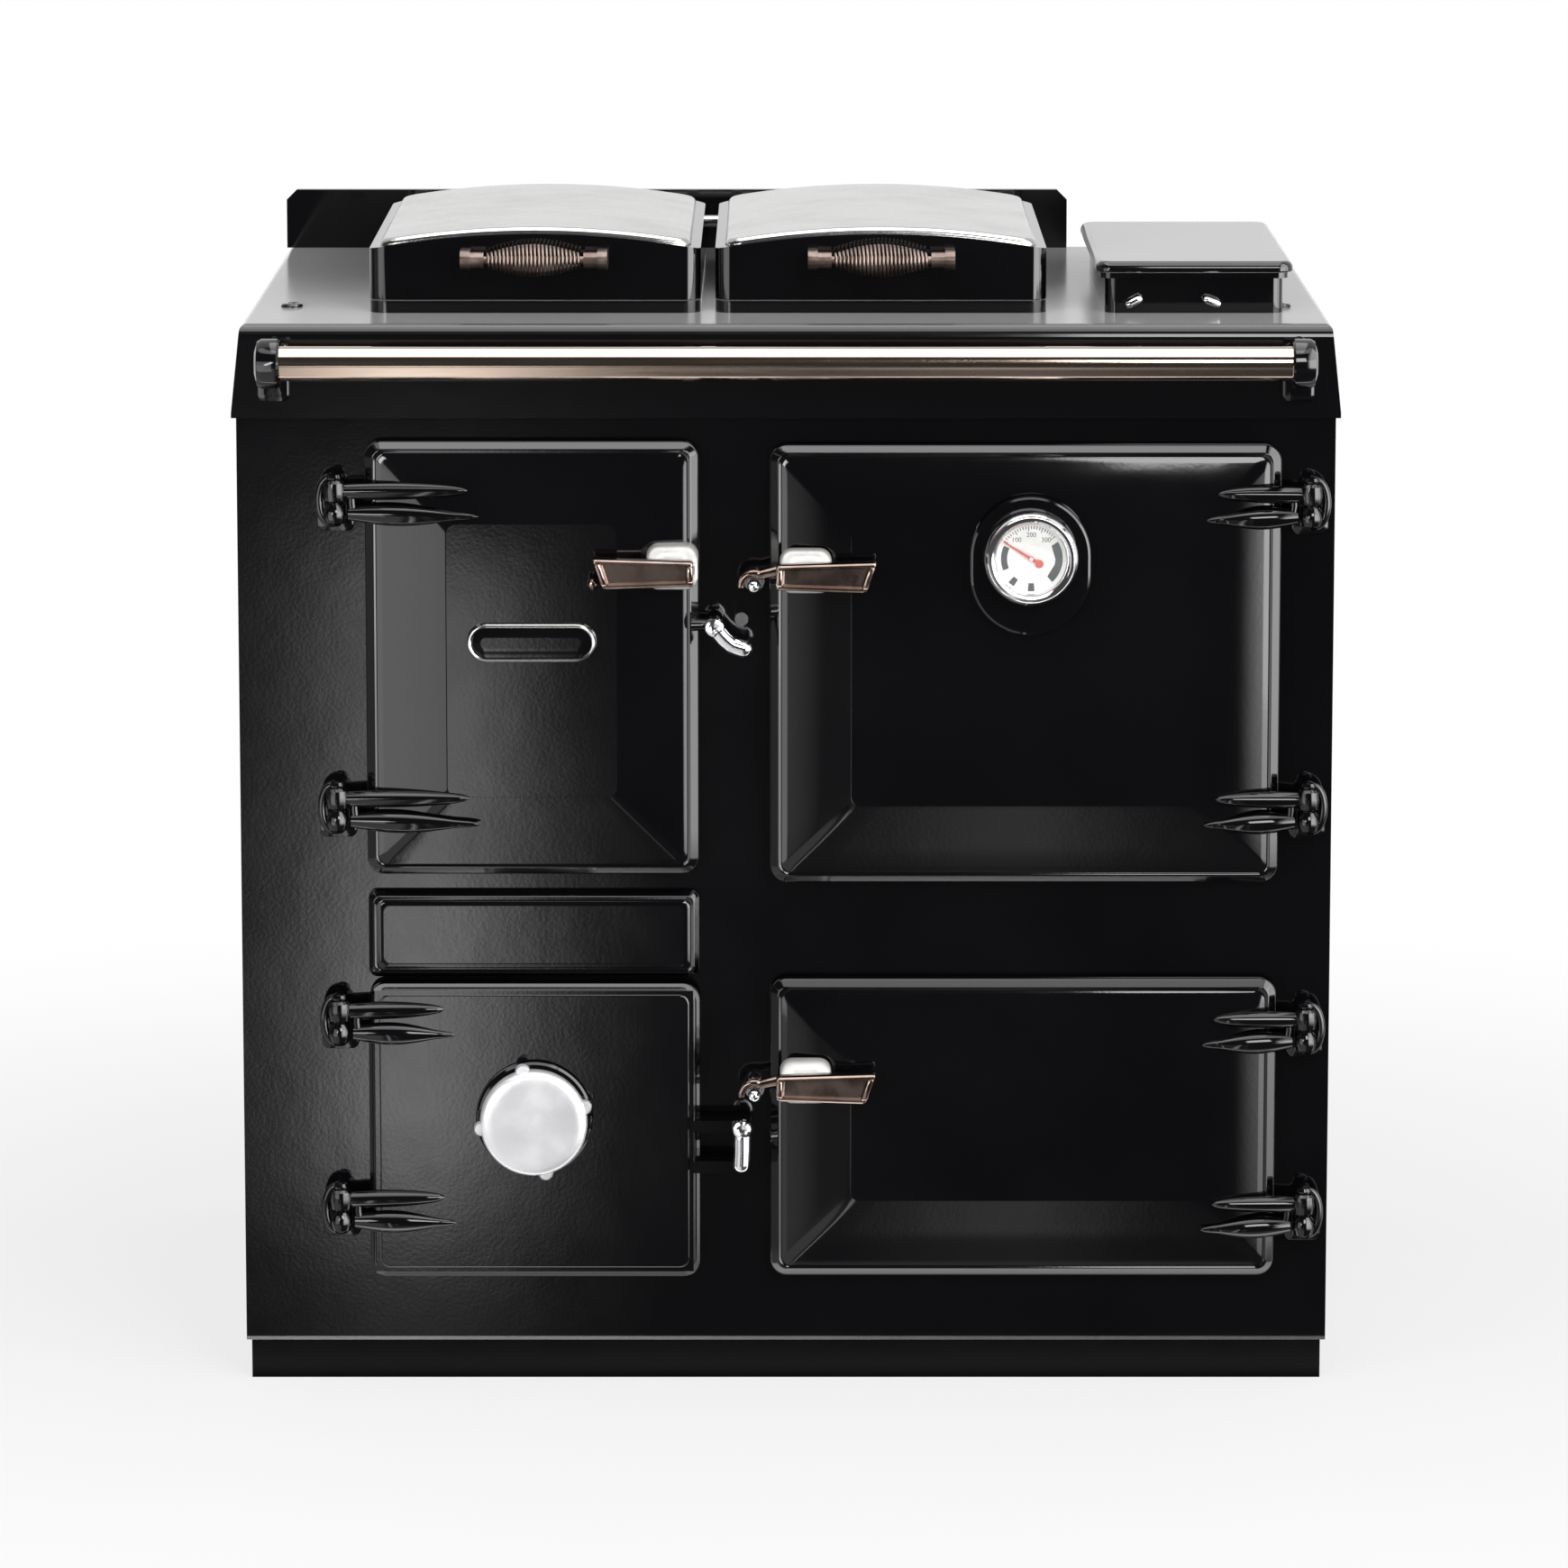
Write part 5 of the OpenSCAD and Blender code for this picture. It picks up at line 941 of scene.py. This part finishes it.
class RANGE_OT_gauge(bpy.types.Operator):
    """Thermometer: bezel, printed marks and numbers, and pointer"""

    bl_idname = "range.gauge"
    bl_label = "Thermometer"

    def execute(self, context):
        x, z = GAUGE
        cup = [(-337, 0.5), (-337, 32), (-338, 33), (-345, 33), (-346.4, 36), (-349, 38),
            (-353, 38), (-356.6, 36.8), (-358.6, 34.4), (-358.8, 32), (-357.2, 29.6),
            (-355.2, 28.6), (-353.6, 28.4), (-342, 28.4), (-341, 27), (-341, 0.5)]
        probe = [(-338, 4), (-252, 4), (-250.4, 3), (-250, 0.5)]
        piece("thermometer_bezel", [lathe(cup, (x, 0, z), sides=64),
            lathe(probe, (x, 0, z), sides=20)], "main_oven_door", "chrome",
            replaced=["thermometer_case"])
        marks = [self.sector(19.5, 25.5, -48, 33), self.sector(19.5, 24.5, 154, 203),
            self.sector(20, 26.5, 226, 238), self.sector(20, 26.5, 264, 276)]
        marks += [self.sector(24.2 if k % 5 else 22.4, 26.6, a - 0.7, a + 0.7)
            for k, a in enumerate(np.linspace(44, 146, 21))]
        piece("dial_marks", marks, "main_oven_door", "dial_white", "print")
        numbers = [self.number(text, *polar(GAUGE, NUMBER_R, angle))
            for text, angle in (("100", 128), ("200", 90), ("300", 52))]
        bpy.ops.object.select_all(action="DESELECT")
        for made in numbers:
            made.select_set(True)
        context.view_layer.objects.active = numbers[0]
        bpy.ops.object.join()
        numbers[0].name = numbers[0].data.name = "dial_numbers"
        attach(numbers[0], "main_oven_door")
        self.pointer(x, z)
        return {"FINISHED"}

    def sector(self, r0, r1, a0, a1):
        """Flat ring sector: its outline, two arcs, carried a short way forward."""
        ring = np.concatenate([bend(GAUGE, r0, a0, a1, 12), bend(GAUGE, r1, a1, a0, 12)])
        return np.stack([np.insert(ring, 1, y, axis=1) for y in (Y_DIAL, Y_INK)])

    def number(self, text, x, z):
        """Plain number as a mesh on the dial's face."""
        curve = bpy.data.curves.new("number_" + text, "FONT")
        curve.body, curve.size, curve.align_x, curve.align_y = text, 5.4 * MM, "CENTER", "CENTER"
        curve.extrude = 0.06 * MM
        source = added("number_" + text, curve)
        bpy.context.view_layer.update()
        mesh = bpy.data.meshes.new_from_object(source)
        bpy.data.objects.remove(source)
        mesh.transform(Matrix.Translation((x * MM, (Y_INK + 0.04) * MM, z * MM))
            @ Matrix.Rotation(math.pi / 2, 4, "X"))
        mesh.materials.clear()
        mesh.materials.append(finishes()["print"])
        return added("number_" + text, mesh)

    def pointer(self, x, z):
        """Blade that narrows to the tip, a round tail, and the hub's cap."""
        way = np.array(polar((0, 0), 1, 148))
        across = np.array([-way[1], way[0]])
        t = np.array([-8.5, 26.5])
        half = np.array([1.5, 0.5])
        blade = np.concatenate([t[:, None] * way + half[:, None] * across,
            (t[:, None] * way - half[:, None] * across)[::-1]]) + GAUGE
        grid = np.stack([np.insert(blade, 1, y, axis=1) for y in (-350.6, -351.4)])
        disc = [(-350.4, 0.4), (-350.4, 3.4), (-351.2, 3.4), (-351.7, 2.8), (-351.8, 0.4)]
        tail = GAUGE - 7.6 * way
        hub = [(-350.3, 0.4), (-350.3, 2.2), (-352.2, 2), (-352.8, 1.2), (-352.9, 0.2)]
        piece("thermometer_needle", [grid, lathe(disc, (tail[0], 0, tail[1]), sides=24),
            lathe(hub, (x, 0, z), sides=20)], "thermometer_pointer", "pointer_red",
            replaced=["thermometer_pointer"])


class RANGE_OT_front_fittings(bpy.types.Operator):
    """Air wheel, blank plaque, and the rope seals behind the doors"""

    bl_idname = "range.front_fittings"
    bl_label = "Front Fittings"

    def execute(self, context):
        x, z = WHEEL
        face = [(-333, 8), (-333, 41), (-334, 43), (-336, 44), (-342, 44), (-345, 43),
            (-347, 40.8), (-348, 37.5), (-348.4, 33), (-348.7, 20), (-348.9, 8), (-349, 0.5)]
        nub = [(-334.6, 0.4), (-334.6, 4.6), (-336, 6), (-341, 6), (-343, 4.8), (-343.4, 0.4)]
        lugs = [lathe(nub, np.insert(polar(WHEEL, 43.4, angle), 1, 0), sides=24)
            for angle in (17, 102, 187, 283)]
        piece("air_wheel_turned", [lathe(face, (x, 0, z), sides=96), *lugs], "air_wheel",
            "chrome", "wheel", ["air_wheel"])
        seat = [(-319, 36), (-319, 48), (-322, 48), (-325.6, 47.4), (-327.4, 45.6),
            (-327.8, 43.2), (-326.6, 41), (-324, 39.6), (-323, 36)]
        piece("air_register_ring", [skin(lathe(seat, (x, 0, z), sides=64), loop=True)],
            "ashpit_door", "raw_iron", "black_enamel")
        rim = [(-1, -326, 15.4), (0, -328, 15.4), (0, -331.4, 15.4), (0.8, -332.4, 14.6),
            (1.8, -332.7, 13.6), (2.8, -332.2, 12.6), (3.2, -331, 12.2), (3.4, -330, 12)]
        piece("name_plaque_rim", [rings(PLAQUE, rim, corner=16)], "firebox_door",
            "bright_steel", replaced=["name_plaque"])
        field = [(3, -329.4, 12.4), (3.2, -330.4, 12.2), (5, -330.7, 10.4), (12, -330.7, 3.4)]
        piece("name_plaque_field", [rings(PLAQUE, field, corner=16)], "firebox_door")
        for body, box in DOORS.items():
            rope = rings(box, [(10.0, -302.0, 6.0)], side=30)[0]
            piece(body + "_rope_seal", [skin(tube(rope, 2.1, (0, 1, 0), 12, loop=True),
                loop=True)], body, "insulation", "rope")
        return {"FINISHED"}


class RANGE_OT_hob_fittings(bpy.types.Operator):
    """Rail brackets, turn clips of the flue box and the hob's cap screws"""

    bl_idname = "range.hob_fittings"
    bl_label = "Hob Fittings"

    def execute(self, context):
        brackets = []
        for side in (-1, 1):
            head = np.array([(405.6, 14.1), (405.6, 18), (407.4, 20), (420, 20), (423.6, 18),
                (425.4, 13), (426, 6), (426.2, 0.5)]) * [side, 1]
            arm = [(side * RAIL_X, y, RAIL_Z) for y in (-366, -350, -330, -307)]
            foot = (side * RAIL_X - 13, 817, 26, 48)
            brackets += [lathe(head, (0, RAIL_Y, RAIL_Z), "x", 40),
                tube(arm, [13, 12.2, 12.6, 15], (0, 0, 1), 24, flat=0.68),
                rings(foot, [(0, -307, 6), (0, -311, 6), (0.8, -312.6, 5.4),
                (2.2, -313.2, 4), (6, -313.4, 2)])]
        piece("rail_bracket_pair", brackets, "carcass", replaced=["rail_brackets"])
        clips = []
        for x, tilt in ((285.0, 0.5), (349.0, -0.35)):
            stem = [(-221, 3), (-231, 3), (-233, 2.6), (-233.4, 0.4)]
            a = np.linspace(-1, 1, 17)
            path = np.stack([x + 8 * a * math.cos(tilt), 0 * a - 231,
                CLIP_Z + 8 * a * math.sin(tilt)], -1)
            radius = 3.6 * np.sqrt(np.clip(1 - a ** 4, 0, 1)) + 0.1
            clips += [lathe(stem, (x, 0, CLIP_Z), sides=20), tube(path, radius, (0, 1, 0), 16)]
        piece("turn_clips", clips, "carcass", "chrome")
        cap = [(878, 9), (880.2, 9), (881.4, 8.2), (882, 6.6), (882, 3.6), (881, 3), (881, 0.4)]
        piece("hob_caps", [lathe(cap, (x, -175, 0), "z", 36) for x in (-408.5, 408.5)],
            "carcass")
        return {"FINISHED"}


class RANGE_PT_panel(bpy.types.Panel):
    """Shows the sizes, colours, light and steps of the dressing."""

    bl_label = "Range Dressing"
    bl_idname = "RANGE_PT_panel"
    bl_space_type = "VIEW_3D"
    bl_region_type = "UI"
    bl_category = "Range"

    def draw(self, context):
        for key in GROUPS:
            group = getattr(context.scene, key)
            for name in group.bl_rna.properties.keys():
                if name not in ("rna_type", "name"):
                    self.layout.prop(group, name)
        for step in STEPS:
            self.layout.operator(step.bl_idname)


STEPS = (RANGE_OT_stage, RANGE_OT_finishes, RANGE_OT_doors, RANGE_OT_lids, RANGE_OT_flue_cover,
    RANGE_OT_hinges, RANGE_OT_handles, RANGE_OT_gauge, RANGE_OT_front_fittings,
    RANGE_OT_hob_fittings)
GROUPS = {"range_sizes": RangeSizes, "range_colours": RangeColours, "range_light": RangeLight}


def register():
    for cls in (*GROUPS.values(), *STEPS, RANGE_PT_panel):
        bpy.utils.register_class(cls)
    for name, cls in GROUPS.items():
        setattr(bpy.types.Scene, name, bpy.props.PointerProperty(type=cls))


def unregister():
    for name in GROUPS:
        delattr(bpy.types.Scene, name)
    for cls in (RANGE_PT_panel, *reversed(STEPS), *reversed(list(GROUPS.values()))):
        bpy.utils.unregister_class(cls)


def main():
    """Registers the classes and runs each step."""
    register()
    for step in STEPS:
        group, name = step.bl_idname.split(".")
        getattr(getattr(bpy.ops, group), name)()


if __name__ == "__main__":
    main()
